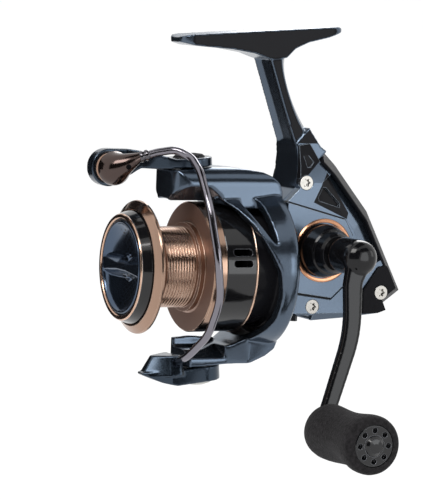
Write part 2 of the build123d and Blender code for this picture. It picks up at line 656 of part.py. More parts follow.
# ============================================================ GRIP
SLEEVE_R = 5.0
SLEEVE_IN = 3.6
CAP_R = 7.1
with BuildPart() as grip_foam:
    turn_x(GRIP_Y, GRIP_Z, [
        (GRIP_IN, SLEEVE_R), (GRIP_IN, 7.4), (GRIP_IN + 1.0, 8.7), (GRIP_IN + 2.6, GRIP_R),
        (GRIP_IN + 18, 9.1),
        (GRIP_OUT - 8, 9.6), (GRIP_OUT - 4, 10.0), (GRIP_OUT - 1.6, 9.8), (GRIP_OUT - 0.4, 8.9),
        (GRIP_OUT, 7.8),
        (GRIP_OUT, CAP_R + 0.05), (GRIP_OUT - 2.2, CAP_R + 0.05), (GRIP_OUT - 2.2, SLEEVE_R),
    ])
    # thumb and finger flats, deeper towards the arm
    for turn_angle in (45, 225):
        flat = Plane(
            origin=(GRIP_IN, LIP_Y + GRIP_Y, SHAFT_Z + GRIP_Z),
            x_dir=(1, 0, 0),
            z_dir=(0, -cos(radians(turn_angle)), -sin(radians(turn_angle))),
        )
        plate(flat.offset(-12), [(-1, -7.4), (22, -9.2), (22, -14), (-1, -14)], 24, mode=Mode.SUBTRACT)
keep("grip_foam", grip_foam)

with BuildPart() as grip_sleeve:
    turn_x(GRIP_Y, GRIP_Z, [
        (GRIP_IN + 0.4, SLEEVE_IN), (GRIP_IN + 0.4, SLEEVE_R), (GRIP_OUT - 2.2, SLEEVE_R),
        (GRIP_OUT - 2.2, SLEEVE_IN),
    ])
keep("grip_sleeve", grip_sleeve)

with BuildPart() as grip_bearings:
    for start in (GRIP_IN + 0.6, AXLE_END - 3.2):
        turn_x(GRIP_Y, GRIP_Z, ring(start, start + 3.0, 2.0 + RUN, SLEEVE_IN))
keep("grip_bearings", grip_bearings)

with BuildPart() as grip_cap:
    turn_x(GRIP_Y, GRIP_Z, [
        (GRIP_OUT - 2.2, 0), (GRIP_OUT - 2.2, CAP_R), (GRIP_OUT - 0.3, CAP_R), (GRIP_OUT, 6.6),
        (GRIP_OUT, 3.6),
        (GRIP_OUT + 0.5, 3.3), (GRIP_OUT + 1.2, 2.4), (GRIP_OUT + 1.4, 1.0), (GRIP_OUT + 1.4, 0),
    ])
    with BuildSketch(across(GRIP_OUT, GRIP_Y, GRIP_Z)):
        with PolarLocations(5.2, 8):
            Circle(0.95)
    extrude(amount=-1.5, mode=Mode.SUBTRACT)
keep("grip_cap", grip_cap)

# ============================================================ ROTOR
WEB_FRONT = 33.5
WALL_FRONT = 44.6
ARM_ROOT = SHELL_IN - 5.7
UPPER_ARM = [
    (9.3, ARM_ROOT), (9.3, ARM_TOP - 1.4), (11.5, ARM_TOP + 0.4), (30.0, ARM_TOP + 0.4),
    (37.0, ARM_TOP - 0.2),
    (42.5, ARM_TOP - 1.0), (46.0, ARM_TOP - 2.6), (48.4, ARM_TOP - 4.8), (ROTOR_BACK, ARM_TOP - 7.6),
    (ROTOR_BACK, ARM_ROOT),
]
ARM_CORNER = 6.0
# Lower corners of the upper arm, drawn in: place along the shaft, then the bevel's inner and outer ends.
ARM_BEVEL = [
    (8.0, (4.0, SHELL_IN - 1.1), (12.6, SHELL_IN + 6.1)), (22.0, (4.0, SHELL_IN - 1.1),
    (12.6, SHELL_IN + 5.7)),
    (35.0, (11.0, SHELL_IN - 6.7), (12.6, SHELL_IN - 5.1)),
]
LOWER_ARM_FRONT = 17.6
LOWER_ARM_HALF = 8.2
SWEEP_BELOW = [(39.0, 0.5 - SHELL_IN), (33.0, -2.7 - SHELL_IN), (25.0, -4.7 - SHELL_IN)]
LOWER_ARM_SIDE = [
    (LOWER_ARM_FRONT, -4.7 - SHELL_IN), (LOWER_ARM_FRONT, -LOWER_ARM - 2.1), (31.0, -LOWER_ARM - 2.1),
    (38.0, -LOWER_ARM + 0.7), (45.0, -LOWER_ARM + 3.7), (48.4, -LOWER_ARM + 6.1),
    (ROTOR_BACK, -LOWER_ARM + 8.5),
    (ROTOR_BACK, 4.3 - SHELL_IN),
] + SWEEP_BELOW
SIDE_WINDOW = [
    (-20.0, SHELL_IN - 2.3), (17.0, SHELL_IN - 1.5), (25.8, SHELL_IN + 0.9), (29.9, SHELL_IN - 2.7),
    (33.9, 16.2),
    (36.5, 11.7), (39.1, 6.8), (42.0, 0.7), (43.4, -7.5), (43.2, -16.0), (41.5, 3.7 - SHELL_IN),
] + SWEEP_BELOW + [(-20.0, -4.7 - SHELL_IN)]
# Pointed openings through the shell, one on each side, behind the front rib.
SHELL_POCKET = [
    (32.2, SHELL_OUT - 2.0), (37.0, SHELL_OUT - 1.4), (39.6, SHELL_OUT - 4.2), (40.6, 16.5), (41.5, 9.0),
    (39.2, 11.8),
    (35.2, 18.2), (32.6, SHELL_OUT - 4.6),
]
PIVOT_SCREW_R = 2.5
SPRING_Z = ARM_TOP - 6.0
UPPER_SCREW_DEPTH = 6.0
LOWER_SCREW_DEPTH = 3.6

crown = ARM_TOP + 0.4
flat_half = ARM_HALF - ARM_CORNER
with BuildPart() as upper_arm:
    plate(side(-ARM_HALF), UPPER_ARM, 2 * ARM_HALF)
    # rounded shoulders
    with BuildSketch(front(ROTOR_BACK)):
        with BuildLine():
            Polyline((flat_half, crown), (-flat_half, crown))
            RadiusArc((-flat_half, crown), (-ARM_HALF, crown - ARM_CORNER), -ARM_CORNER)
            Polyline(
                (-ARM_HALF, crown - ARM_CORNER), (-ARM_HALF, 10.0), (ARM_HALF, 10.0),
                (ARM_HALF, crown - ARM_CORNER),
            )
            RadiusArc((ARM_HALF, crown - ARM_CORNER), (flat_half, crown), -ARM_CORNER)
        make_face()
    extrude(amount=ROTOR_BACK, mode=Mode.INTERSECT)
    # rounded front corners
    with BuildSketch(level(10.0)):
        with Locations((0, UPPER_ARM[0][0] + 30.0)):
            RectangleRounded(2 * ARM_HALF, 60.0, ARM_CORNER)
    extrude(amount=30.0, mode=Mode.INTERSECT)
    for sign in (-1, 1):
        for y, (x_in, z_in), (x_out, z_out) in ARM_BEVEL:
            with BuildSketch(front(y)):
                with BuildLine():
                    Polyline(
                        (sign * x_in, z_in), (sign * x_out, z_out), (sign * x_out, 10.0), (sign * x_in, 10.0),
                        close=True,
                    )
                make_face()
        loft(ruled=True, mode=Mode.SUBTRACT)

with BuildPart() as rotor:
    # outer shell, open between the arms
    turn_y([
        (24.0, SHELL_IN), (24.0, SHELL_OUT - 0.8), (40.0, SHELL_OUT), (46.0, SHELL_OUT + 0.8),
        (48.4, SHELL_OUT + 0.6), (ROTOR_BACK, SHELL_OUT - 0.6), (ROTOR_BACK, SHELL_IN + 1.3),
        (47.2, SHELL_IN - 0.1),
        (47.2, SHELL_IN - 1.7), (WALL_FRONT, SHELL_IN - 1.7), (WALL_FRONT, SHELL_IN),
    ])
    plate(side(-40), SIDE_WINDOW, 80, mode=Mode.SUBTRACT)
    plate(side(-40), SHELL_POCKET, 80, mode=Mode.SUBTRACT)
    # arms
    add(upper_arm.part)
    plate(side(-ARM_HALF), LOWER_ARM_SIDE, 2 * ARM_HALF)
    disc(front(WALL_FRONT), SHELL_IN, 60, mode=Mode.SUBTRACT)
    disc(front(ROTOR_BACK + 2), SHELL_IN - 0.2, ROTOR_BACK + 2 - WALL_FRONT, mode=Mode.SUBTRACT)
    # the lower arm narrows towards its free end
    for sign in (-1, 1):
        plate(level(-LOWER_ARM - 3), [
            (sign * LOWER_ARM_HALF, 8.0), (sign * 20.0, 8.0), (sign * 20.0, 38.0), (sign * ARM_HALF, 38.0),
            (sign * LOWER_ARM_HALF, 32.0),
        ], 16.0, mode=Mode.SUBTRACT)
    lower_top = -4.7 - SHELL_IN
    plate(
        front(31.0), [(-1.0, lower_top + 1.4), (9.0, lower_top - 3.0), (9.0, lower_top + 1.4)], 16.0,
        mode=Mode.SUBTRACT,
    )
    # upright lip along the far edge of the lower arm
    plate(side(-LOWER_ARM_HALF), [
        (LOWER_ARM_FRONT, lower_top - 1.6), (LOWER_ARM_FRONT, lower_top + 3.0), (24.0, lower_top + 3.6),
        (33.0, lower_top + 3.0), (33.0, lower_top + 0.4),
    ], 2.0)
    # faces square to the bail axis
    disc(pivot(ARM_TOP), 30, 8, mode=Mode.SUBTRACT)
    disc(pivot(-LOWER_ARM - 8), 30, 8, mode=Mode.SUBTRACT)
    # back wall, cup and hub
    turn_y([
        (WEB_FRONT, PINION_BODY_R), (WEB_FRONT, CUP_R), (WALL_FRONT, CUP_R), (WALL_FRONT, SHELL_IN + 0.2),
        (47.2, SHELL_IN + 0.2), (47.2, CUP_R - 1.9), (36.0, CUP_R - 1.9), (36.0, PINION_BODY_R),
    ])
    # pivot screw holes, spring pocket
    disc(pivot(ARM_TOP - UPPER_SCREW_DEPTH), PIVOT_SCREW_R, UPPER_SCREW_DEPTH + 1, mode=Mode.SUBTRACT)
    disc(pivot(-LOWER_ARM - 1), PIVOT_SCREW_R, LOWER_SCREW_DEPTH + 1, mode=Mode.SUBTRACT)
    with BuildSketch(front(41)):
        with Locations((0, SPRING_Z)):
            Circle(2.2)
    extrude(amount=13.0, mode=Mode.SUBTRACT)
    with BuildSketch(front(WEB_FRONT)):
        with Locations((8.0, 0)):
            Circle(1.0)
    extrude(amount=-2.0, mode=Mode.SUBTRACT)
keep("rotor", rotor)

with BuildPart() as bail_spring:
    turns = 7
    spring_pitch = 12.0 / turns
    with BuildLine() as coil:
        Helix(
            pitch=spring_pitch, height=12.0, radius=1.6,
            center=(0, LIP_Y + 28.4, SHAFT_Z + SPRING_Z), direction=(0, 1, 0),
        )
    with BuildSketch(Plane(origin=coil.line @ 0, z_dir=coil.line % 0)):
        Circle(0.3)
    sweep(path=coil.line, is_frenet=True)
keep("bail_spring", bail_spring)

with BuildPart() as balance_weight:
    plate(
        front(49.2),
        [(-6.0, 1.7 - SHELL_IN), (6.0, 1.7 - SHELL_IN), (6.0, 4.5 - SHELL_IN), (-6.0, 4.5 - SHELL_IN)],
        2.0,
    )
keep("balance_weight", balance_weight)

NUT_FRONT = 30.0
with BuildPart() as pinion_gear:
    turn_y([
        (NUT_FRONT - 0.6, SHAFT_R + RUN), (NUT_FRONT - 0.6, 2.6), (WEB_FRONT, 2.6),
        (WEB_FRONT, PINION_BODY_R),
        (49.2, PINION_BODY_R), (49.2, PINION_ROOT_R), (BUSHING[1], PINION_ROOT_R),
        (BUSHING[1], SHAFT_R + RUN),
    ])
    pitch = 2 * pi / PINION_TEETH
    tip_half = 0.26
    root_half = 0.5
    with BuildSketch(front(54.8)):
        with PolarLocations(0, PINION_TEETH, start_angle=180 / PINION_TEETH):
            Polygon(
                (PINION_ROOT_R - 0.3, -root_half), (PINION_TIP_R, -tip_half), (PINION_TIP_R, tip_half),
                (PINION_ROOT_R - 0.3, root_half), align=None,
            )
    extrude(amount=54.8 - 49.2)
keep("pinion_gear", pinion_gear)

with BuildPart() as rotor_nut:
    with BuildSketch(front(WEB_FRONT)):
        RegularPolygon(5.2, 6)
        Circle(2.6, mode=Mode.SUBTRACT)
    extrude(amount=WEB_FRONT - NUT_FRONT)
keep("rotor_nut", rotor_nut)

with BuildPart() as rotor_lock_screw:
    with BuildSketch(front(WEB_FRONT + 2.0)):
        with Locations((8.0, 0)):
            Circle(1.0)
    extrude(amount=2.0)
    with BuildSketch(front(WEB_FRONT)):
        with Locations((8.0, 0)):
            Circle(2.0)
    extrude(amount=1.2)
keep("rotor_lock_screw", rotor_lock_screw)

# ============================================================ BAIL
ARM_PLATE = (ARM_TOP + GAP, ARM_TOP + 3.5)
LEVER_PLATE = (-LOWER_ARM - 5.5, -LOWER_ARM - GAP)
PIVOT_AXIS = Axis(pivot_point(0), (0, -sin(PIVOT_T), cos(PIVOT_T)))


def pivot_half_plane():
    """Half section through the bail pivots: (radius, along the axis)."""
    return Plane(origin=pivot_point(0), x_dir=(1, 0, 0), z_dir=(0, -cos(PIVOT_T), -sin(PIVOT_T)))


with BuildPart() as bail_pivot_screws:
    turn(pivot_half_plane(), PIVOT_AXIS, [
        (0, ARM_TOP - UPPER_SCREW_DEPTH), (PIVOT_SCREW_R, ARM_TOP - UPPER_SCREW_DEPTH),
        (PIVOT_SCREW_R, ARM_PLATE[1] + 0.1),
        (5.6, ARM_PLATE[1] + 0.1), (4.8, ARM_PLATE[1] + 0.8), (2.6, ARM_PLATE[1] + 1.2),
        (0, ARM_PLATE[1] + 1.3),
    ])
    turn(pivot_half_plane(), PIVOT_AXIS, [
        (0, -LOWER_ARM + LOWER_SCREW_DEPTH), (PIVOT_SCREW_R, -LOWER_ARM + LOWER_SCREW_DEPTH),
        (PIVOT_SCREW_R, LEVER_PLATE[0] - 0.1),
        (5.2, LEVER_PLATE[0] - 0.1), (4.6, LEVER_PLATE[0] - 1.0), (2.6, LEVER_PLATE[0] - 1.7),
        (0, LEVER_PLATE[0] - 1.9),
    ])
keep("bail_pivot_screws", bail_pivot_screws)

HEAD_X = (-9.0, -4.0)
with BuildPart() as bail_arm:
    nose = [(ROLLER_Y, ROLLER_Z + HEAD_R), (-2.0, ARM_TOP + 5.6), (4.0, ARM_TOP + 4.8)]
    throat = [(1.3, ARM_TOP - 0.8), (-2.0, ARM_TOP - 3.6), (-5.2, ARM_TOP - 5.7)]
    roller_at = to_pivot(ROLLER_Y, ROLLER_Z)
    with BuildSketch(pivot_side(HEAD_X[0])):
        with BuildLine():
            Polyline(
                [to_pivot(*p) for p in nose]
                + [(-7.0, ARM_PLATE[1]), (8.0, ARM_PLATE[1]), (8.0, ARM_PLATE[0]), (-13.0, ARM_PLATE[0])]
                + [to_pivot(*p) for p in throat],
                close=True,
            )
        make_face()
        with Locations(roller_at):
            Circle(HEAD_R)
    extrude(amount=18.0)
    with BuildSketch(pivot(ARM_TOP - 9.6)):
        Circle(8.0)
        with BuildLine():
            Polyline(
                (-8.0, 0), (-8.4, -10.4), (HEAD_X[0], -18.4), (HEAD_X[0], -38.4), (HEAD_X[1], -38.4),
                (HEAD_X[1], -21.0), (-1.0, -16.9), (5.4, -9.9), (8.0, 0), close=True,
            )
        make_face()
    extrude(amount=25, mode=Mode.INTERSECT)
    disc(pivot(ARM_TOP - 4.6), PIVOT_SCREW_R + RUN, 12, mode=Mode.SUBTRACT)
    disc(across(HEAD_X[1] - 3.0, ROLLER_Y, ROLLER_Z), 1.5, 5.0, mode=Mode.SUBTRACT)
keep("bail_arm", bail_arm)

ROLLER_X = (-3.7, -0.1)
ROLLER_BORE = 3.4
with BuildPart() as line_roller:
    mid = sum(ROLLER_X) / 2
    turn_x(ROLLER_Y, ROLLER_Z, [
        (ROLLER_X[0], ROLLER_BORE), (ROLLER_X[0], 5.2), (mid - 0.5, 4.4), (mid + 0.5, 4.4),
        (ROLLER_X[1] - 0.9, ROLLER_R),
        (ROLLER_X[1], ROLLER_R), (ROLLER_X[1], ROLLER_BORE),
    ])
keep("line_roller", line_roller)

with BuildPart() as roller_bearing:
    turn_x(ROLLER_Y, ROLLER_Z, ring(ROLLER_X[0] + 0.4, ROLLER_X[1] - 0.4, 1.5 + RUN, ROLLER_BORE))
keep("roller_bearing", roller_bearing)

with BuildPart() as roller_screw:
    disc(across(HEAD_X[1] - 3.0, ROLLER_Y, ROLLER_Z), 1.5, 9.0)
keep("roller_screw", roller_screw)

WIRE_POINTS = [
    (6.4, -2.6, ARM_TOP + 3.6), (7.6, 3.0, ARM_TOP + 5.3), (9.0, 9.4, ARM_TOP + 6.4),
    (14.0, 13.0, ARM_TOP + 4.0),
    (21.5, 13.0, ARM_TOP - 0.6), (30.6, 12.8, 22.6), (34.8, 14.6, 6.0), (34.2, 16.2, -8.0),
    (29.4, 14.4, -20.4),
    (20.4, 11.0, 5.1 - LOWER_ARM), (9.6, 12.0, 1.9 - LOWER_ARM),
]
WIRE_BENDS = [12.0, 5.5, 8.0, 14.0, 22.0, 24.0, 22.0, 16.0, 12.0]


def reel_point(x, y, z):
    return Vector(x, LIP_Y + y, SHAFT_Z + z)


with BuildPart() as bail_wire:
    with BuildLine() as wire_path:
        FilletPolyline(*[reel_point(*p) for p in WIRE_POINTS], radius=WIRE_BENDS)
    with BuildSketch(Plane(origin=wire_path.line @ 0, z_dir=wire_path.line % 0)):
        Circle(WIRE_R)
    sweep(path=wire_path.line)
keep("bail_wire", bail_wire)

def cone_section(point, way):
    """Plane square to the cone's run, its x kept near upright so that the sections line up."""
    way = Vector(*way).normalized()
    up = Vector(0, 0, 1)
    return Plane(origin=point, x_dir=up - way * up.dot(way), z_dir=way)


with BuildPart() as roller_cone:
    tip_way = wire_path.line % 0
    with BuildSketch(cone_section(reel_point(ROLLER_X[1] + GAP, ROLLER_Y, ROLLER_Z), (1, 0, 0))):
        Circle(5.9)
    with BuildSketch(cone_section(reel_point(2.8, ROLLER_Y + 0.8, ROLLER_Z + 0.4), (0.95, 0.3, 0.15))):
        Circle(5.0)
    with BuildSketch(cone_section(reel_point(5.2, ROLLER_Y + 3.7, ROLLER_Z + 2.6), (0.5, 0.8, 0.35))):
        Circle(3.0)
    with BuildSketch(cone_section(wire_path.line @ 0, (tip_way.X, tip_way.Y, tip_way.Z))):
        Circle(WIRE_R + 0.2)
    loft()
    disc(across(-1.0, ROLLER_Y, ROLLER_Z), 1.5, 3.0, mode=Mode.SUBTRACT)
keep("roller_cone", roller_cone)

LEVER_BASE = [
    (-4.6, -10.8), (-5.6, -12.6), (1.0, -22.8), (5.5, -23.2), (11.4, -14.6), (11.8, -10.6), (9.6, -8.8),
    (4.0, -10.8),
]
LEVER_RIDGE = [
    (-0.6, -11.0), (-0.8, -11.8), (2.4, -18.4), (4.6, -18.6), (8.8, -14.0), (10.6, -11.2), (9.2, -9.6),
    (3.6, -11.0),
]
LEVER_RISE = 5.4           # thick front part of the lever, above its pivot plate
with BuildPart() as bail_lever:
    with BuildSketch(pivot(LEVER_PLATE[0])):
        Circle(8.0)
        with BuildLine():
            Polyline((-8.0, 0), (-6.2, -12.0), (1.0, -22.8), (5.5, -23.2), (10.6, -14.0), (8.0, 0), close=True)
        make_face()
    extrude(amount=LEVER_PLATE[1] - LEVER_PLATE[0])
    # thick front part, with a ridge, that takes the end of the wire
    for height, outline in ((LEVER_PLATE[1] - 1.6, LEVER_BASE), (LEVER_PLATE[1] + LEVER_RISE, LEVER_RIDGE)):
        with BuildSketch(pivot(height)):
            with BuildLine():
                Polyline(*outline, close=True)
            make_face()
    loft(ruled=True)
    plate(side(-14), [
        (-2.0, 0.3 - LOWER_ARM), (0.4, -2.5 - LOWER_ARM), (7.7, -5.3 - LOWER_ARM), (17.0, -7.1 - LOWER_ARM),
        (34.0, -7.1 - LOWER_ARM), (34.0, 7.9 - LOWER_ARM), (6.0, 7.9 - LOWER_ARM), (3.6, 3.9 - LOWER_ARM),
    ], 30, mode=Mode.INTERSECT)
    disc(pivot(LEVER_PLATE[0] - 2), PIVOT_SCREW_R + RUN, 12, mode=Mode.SUBTRACT)
    add(bail_wire.part, mode=Mode.SUBTRACT)
keep("bail_lever", bail_lever)

# ============================================================ SHAFT
SEAT_BACK = 19.0
with BuildPart() as main_shaft:
    disc(front(SLIDER_Y + 3.6), SHAFT_R, SLIDER_Y + 3.6 + 3.0)
keep("main_shaft", main_shaft)

SLIDER_X = (-3.4, 2.0)
SLIDER_T = 5.0
STUD_R = 1.2
with BuildPart() as oscillation_slider:
    plate(front(SLIDER_Y + SLIDER_T / 2), [
        (SLIDER_X[0], -11.2), (SLIDER_X[1], -11.2), (SLIDER_X[1], 8.0), (SLIDER_X[0], 8.0),
    ], SLIDER_T)
    disc(front(SLIDER_Y + SLIDER_T), SHAFT_R, 2 * SLIDER_T, mode=Mode.SUBTRACT)
    with BuildSketch(front(SLIDER_Y + SLIDER_T)):
        with Locations((0, ROD_Z)):
            Circle(ROD_R + RUN)
    extrude(amount=2 * SLIDER_T, mode=Mode.SUBTRACT)
    plate(side(SLIDER_X[0]), [
        (SLIDER_Y - STUD_R - 0.1, -7.4), (SLIDER_Y + STUD_R + 0.1, -7.4),
        (SLIDER_Y + STUD_R + 0.1, 7.0), (SLIDER_Y - STUD_R - 0.1, 7.0),
    ], 1.0, mode=Mode.SUBTRACT)
    with BuildSketch(level(SHAFT_R)):
        with Locations((0, SLIDER_Y)):
            Circle(0.9)
    extrude(amount=8, mode=Mode.SUBTRACT)
keep("oscillation_slider", oscillation_slider)

with BuildPart() as slider_screw:
    with BuildSketch(level(SHAFT_R + 0.1)):
        with Locations((0, SLIDER_Y)):
            Circle(0.9)
    extrude(amount=8.0 - SHAFT_R - 0.1)
    with BuildSketch(level(8.0)):
        with Locations((0, SLIDER_Y)):
            Circle(1.7)
    extrude(amount=1.1)
keep("slider_screw", slider_screw)

with BuildPart() as spool_seat:
    turn_y(ring(16.9, SEAT_BACK, SHAFT_R, 4.6))
keep("spool_seat", spool_seat)

WASHER_R = 10.2
with BuildPart() as drag_key_washers:
    for y in (2.1, 3.55):
        turn_y(ring(y, y + 0.6, SHAFT_R, WASHER_R - 0.3))
keep("drag_key_washers", drag_key_washers)

# ============================================================ SPOOL
POCKET_R = KNOB_R + 0.4
BOSS_R = 5.0
with BuildPart() as spool:
    groove_front = 6.2
    groove_pitch = (16.6 - groove_front) / LINE_GROOVES
    arbor = [(5.6, ARBOR_R)]
    for i in range(LINE_GROOVES):
        y = groove_front + i * groove_pitch
        arbor += [(y, ARBOR_R), (y + groove_pitch * 0.3, ARBOR_R - 0.35), (y + groove_pitch * 0.6, ARBOR_R)]
    turn_y(
        [(-2.2, POCKET_R), (-2.2, POCKET_R + 0.4), (-0.4, LIP_R - 0.2), (0.1, LIP_R), (0.7, LIP_R - 0.1),
         (2.6, LIP_R - 4.0), (4.4, ARBOR_R + 0.8)]
        + arbor
        + [(17.2, ARBOR_R), (17.3, ARBOR_R + 1.4), (19.0, ARBOR_R + 1.4), (19.2, ARBOR_R + 2.0),
           (19.2, BAND_R - 0.4), (19.6, BAND_R), (24.0, BAND_R), (24.0, SKIRT_R - SKIRT_WALL),
           (21.4, SKIRT_R - SKIRT_WALL), (21.4, ARBOR_R - 1.8), (8.0, ARBOR_R - 1.8), (8.0, BOSS_R),
           (16.6, BOSS_R),
           (16.6, SHAFT_R + RUN), (5.0, SHAFT_R + RUN), (5.0, WASHER_R + 0.2), (1.0, WASHER_R + 0.2),
           (1.0, POCKET_R)]
    )
keep("spool", spool)

with BuildPart() as spool_skirt:
    inner = SKIRT_R - SKIRT_WALL
    turn_y([
        (24.0, SKIRT_R - 0.2), (24.4, SKIRT_R), (SKIRT_BACK - 0.2, SKIRT_R), (SKIRT_BACK, SKIRT_R - 0.2),
        (SKIRT_BACK, inner), (26.0, inner), (25.0, inner - 1.0), (21.4, inner - 1.0), (21.4, inner - RUN),
        (24.0, inner - RUN),
    ])
    for pair in range(SLOT_PAIRS):
        for offset in (7.8, 17.8):
            angle = radians(offset + pair * 360 / SLOT_PAIRS)
            slot_plane = Plane(
                origin=(0, LIP_Y + 30.2, SHAFT_Z), x_dir=(0, 1, 0), z_dir=(cos(angle), 0, sin(angle)),
            )
            with BuildSketch(slot_plane.offset(18)):
                RectangleRounded(7.1, 2.4, 1.0)
            extrude(amount=6, mode=Mode.SUBTRACT)
keep("spool_skirt", spool_skirt)

with BuildPart() as skirt_ring:
    turn_y([
        (35.0, SKIRT_R), (SKIRT_BACK - 0.2, SKIRT_R), (SKIRT_BACK - 0.2, SKIRT_R + 0.2),
        (35.6, SKIRT_R + 0.4), (35.2, SKIRT_R + 0.4),
    ])
keep("skirt_ring", skirt_ring)

with BuildPart() as click_gear:
    with BuildSketch(front(16.4)):
        Circle(7.6)
        with PolarLocations(7.7, 30):
            Rectangle(1.2, 0.7)
        Circle(BOSS_R, mode=Mode.SUBTRACT)
    extrude(amount=1.6)
keep("click_gear", click_gear)

with BuildPart() as drag_washers:
    for y in (2.75, 4.2):
        turn_y(ring(y, y + 0.75, SHAFT_R + 0.4, WASHER_R))
keep("drag_washers", drag_washers)

with BuildPart() as drag_retaining_ring:
    turn_y(ring(1.3, 1.8, 9.0, WASHER_R + 0.2))
keep("drag_retaining_ring", drag_retaining_ring)

# ============================================================ DRAG KNOB
DISH_R = KNOB_RIM_R - 2.2
DISH_BACK = -1.6
NUT_R = 4.0
with BuildPart() as drag_knob:
    turn_y([
        (KNOB_FRONT + 0.5, DISH_R + 0.1), (KNOB_FRONT + 0.5, KNOB_RIM_R), (-2.6, KNOB_R), (0.6, KNOB_R),
        (0.6, 6.6), (1.8, 6.2), (1.8, 2.2), (1.0, 2.2), (1.0, SHAFT_R + 0.3), (DISH_BACK, SHAFT_R + 0.3),
        (DISH_BACK, DISH_R + 0.1),
    ])
    with BuildSketch(front(1.0)):
        RegularPolygon(NUT_R, 6)
    extrude(amount=1.0 - DISH_BACK + 1, mode=Mode.SUBTRACT)
keep("drag_knob", drag_knob)

with BuildPart() as knob_nut:
    with BuildSketch(front(1.0)):
        RegularPolygon(NUT_R - 0.02, 6)
        Circle(SHAFT_R + RUN, mode=Mode.SUBTRACT)
    extrude(amount=2.0)
keep("knob_nut", knob_nut)

with BuildPart() as knob_spring:
    turn_y(ring(-1.5, -1.1, SHAFT_R + 0.3, 3.0))
keep("knob_spring", knob_spring)

with BuildPart() as knob_rim:
    turn_y([
        (KNOB_FRONT + 0.5, DISH_R + 0.3), (KNOB_FRONT, DISH_R + 0.7), (KNOB_FRONT, KNOB_RIM_R - 0.4),
        (KNOB_FRONT + 0.5, KNOB_RIM_R),
    ])
keep("knob_rim", knob_rim)

DISH_FLOOR = -2.5
BOWL_R = DISH_R - 1.0
BAR_HALF = DISH_R - 1.6
GRIP_BAR = [(BAR_HALF, 5.4), (4.0, 4.0), (-4.0, 4.0), (-BAR_HALF, 5.4)]
GRIP_BAR_TOP = [(BAR_HALF, 2.0), (4.0, 0.9), (-4.0, 0.9), (-BAR_HALF, 2.0)]
with BuildPart() as knob_dish:
    turn_y([
        (KNOB_FRONT, 0), (KNOB_FRONT, DISH_R - 0.6), (KNOB_FRONT + 0.4, DISH_R), (DISH_BACK, DISH_R),
        (DISH_BACK, 0),
    ])
    # bowl of half-oval section
    with BuildSketch(side()):
        with Locations((KNOB_FRONT, 0)):
            Ellipse(DISH_FLOOR - KNOB_FRONT, BOWL_R)
        with Locations((KNOB_FRONT, -BOWL_R)):
            Rectangle(2 * BOWL_R, 2 * BOWL_R, mode=Mode.SUBTRACT)
    revolve(axis=SPOOL_AXIS, mode=Mode.SUBTRACT)
    turn_y([(-4.2, 0), (-4.1, 3.8), (DISH_FLOOR, 4.8), (DISH_BACK, 4.8), (DISH_BACK, 0)])
    # grip bar across the dish, narrow at its middle
    for y, half_bar in ((DISH_FLOOR, GRIP_BAR), (KNOB_FRONT + 0.3, GRIP_BAR_TOP)):
        with BuildSketch(front(y)):
            with BuildLine():
                Polyline(*half_bar, *[(-x, -z) for x, z in half_bar], close=True)
            make_face()
    loft(ruled=True)
    disc(front(DISH_BACK + 1), 3.4, 1 + DISH_BACK + 3.4, mode=Mode.SUBTRACT)
keep("knob_dish", knob_dish)

# ============================================================ OSCILLATION GEAR
with BuildPart() as oscillation_gear:
    spur(OSC_Y, 0, OSC_GEAR_X, OSC_GEAR_TEETH, OSC_MODULE, OSC_FACE, 1.8 + RUN)
oscillation_gear.part = oscillation_gear.part.rotate(x_axis(OSC_Y, 0), 180 + mesh_angle + 180 / OSC_GEAR_TEETH)
# eccentric stud that works the slider
stud_ahead = OSC_Y - SLIDER_Y
stud_up = sqrt((STROKE / 2) ** 2 - stud_ahead ** 2)
with BuildPart() as stud:
    disc(across(OSC_GEAR_X + OSC_FACE, SLIDER_Y, stud_up), STUD_R, SLIDER_X[0] - GAP - OSC_GEAR_X - OSC_FACE)
oscillation_gear.part = oscillation_gear.part + stud.part
keep("oscillation_gear", oscillation_gear)
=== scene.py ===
"""Looks for the open-face spinning reel, built around its CAD frame.

Places are given in millimetres from the middle of the spool's front lip: x towards the handle,
y rearwards and z up. The CAD's own origin is on top of the foot, and at() turns one into the other.
"""
import math

import bmesh
import bpy
from mathutils import Matrix, Vector


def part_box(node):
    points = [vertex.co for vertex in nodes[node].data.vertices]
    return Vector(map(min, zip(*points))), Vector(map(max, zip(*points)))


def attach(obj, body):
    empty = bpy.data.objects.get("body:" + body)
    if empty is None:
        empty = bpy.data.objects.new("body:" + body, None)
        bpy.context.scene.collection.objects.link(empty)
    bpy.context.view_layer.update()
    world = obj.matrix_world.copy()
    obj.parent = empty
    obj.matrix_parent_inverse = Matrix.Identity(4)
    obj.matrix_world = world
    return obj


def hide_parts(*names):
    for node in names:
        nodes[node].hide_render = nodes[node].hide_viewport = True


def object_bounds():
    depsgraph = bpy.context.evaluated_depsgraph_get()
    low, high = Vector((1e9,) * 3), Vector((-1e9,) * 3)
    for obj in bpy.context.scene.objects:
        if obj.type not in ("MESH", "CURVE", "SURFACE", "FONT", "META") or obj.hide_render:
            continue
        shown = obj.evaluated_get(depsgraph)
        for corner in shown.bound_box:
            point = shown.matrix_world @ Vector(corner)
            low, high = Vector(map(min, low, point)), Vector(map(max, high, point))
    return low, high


MM = 0.001
LIP_Y = -42.5
SHAFT_Z = -81.4

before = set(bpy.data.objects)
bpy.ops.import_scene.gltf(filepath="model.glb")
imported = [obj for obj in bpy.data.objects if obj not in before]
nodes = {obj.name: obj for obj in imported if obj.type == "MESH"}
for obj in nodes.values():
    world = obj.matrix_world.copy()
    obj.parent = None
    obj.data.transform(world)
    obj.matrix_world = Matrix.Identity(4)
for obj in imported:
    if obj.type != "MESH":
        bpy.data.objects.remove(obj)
cad_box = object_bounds()


def at(x, y, z):
    return Vector((x, y + LIP_Y, z + SHAFT_Z)) * MM


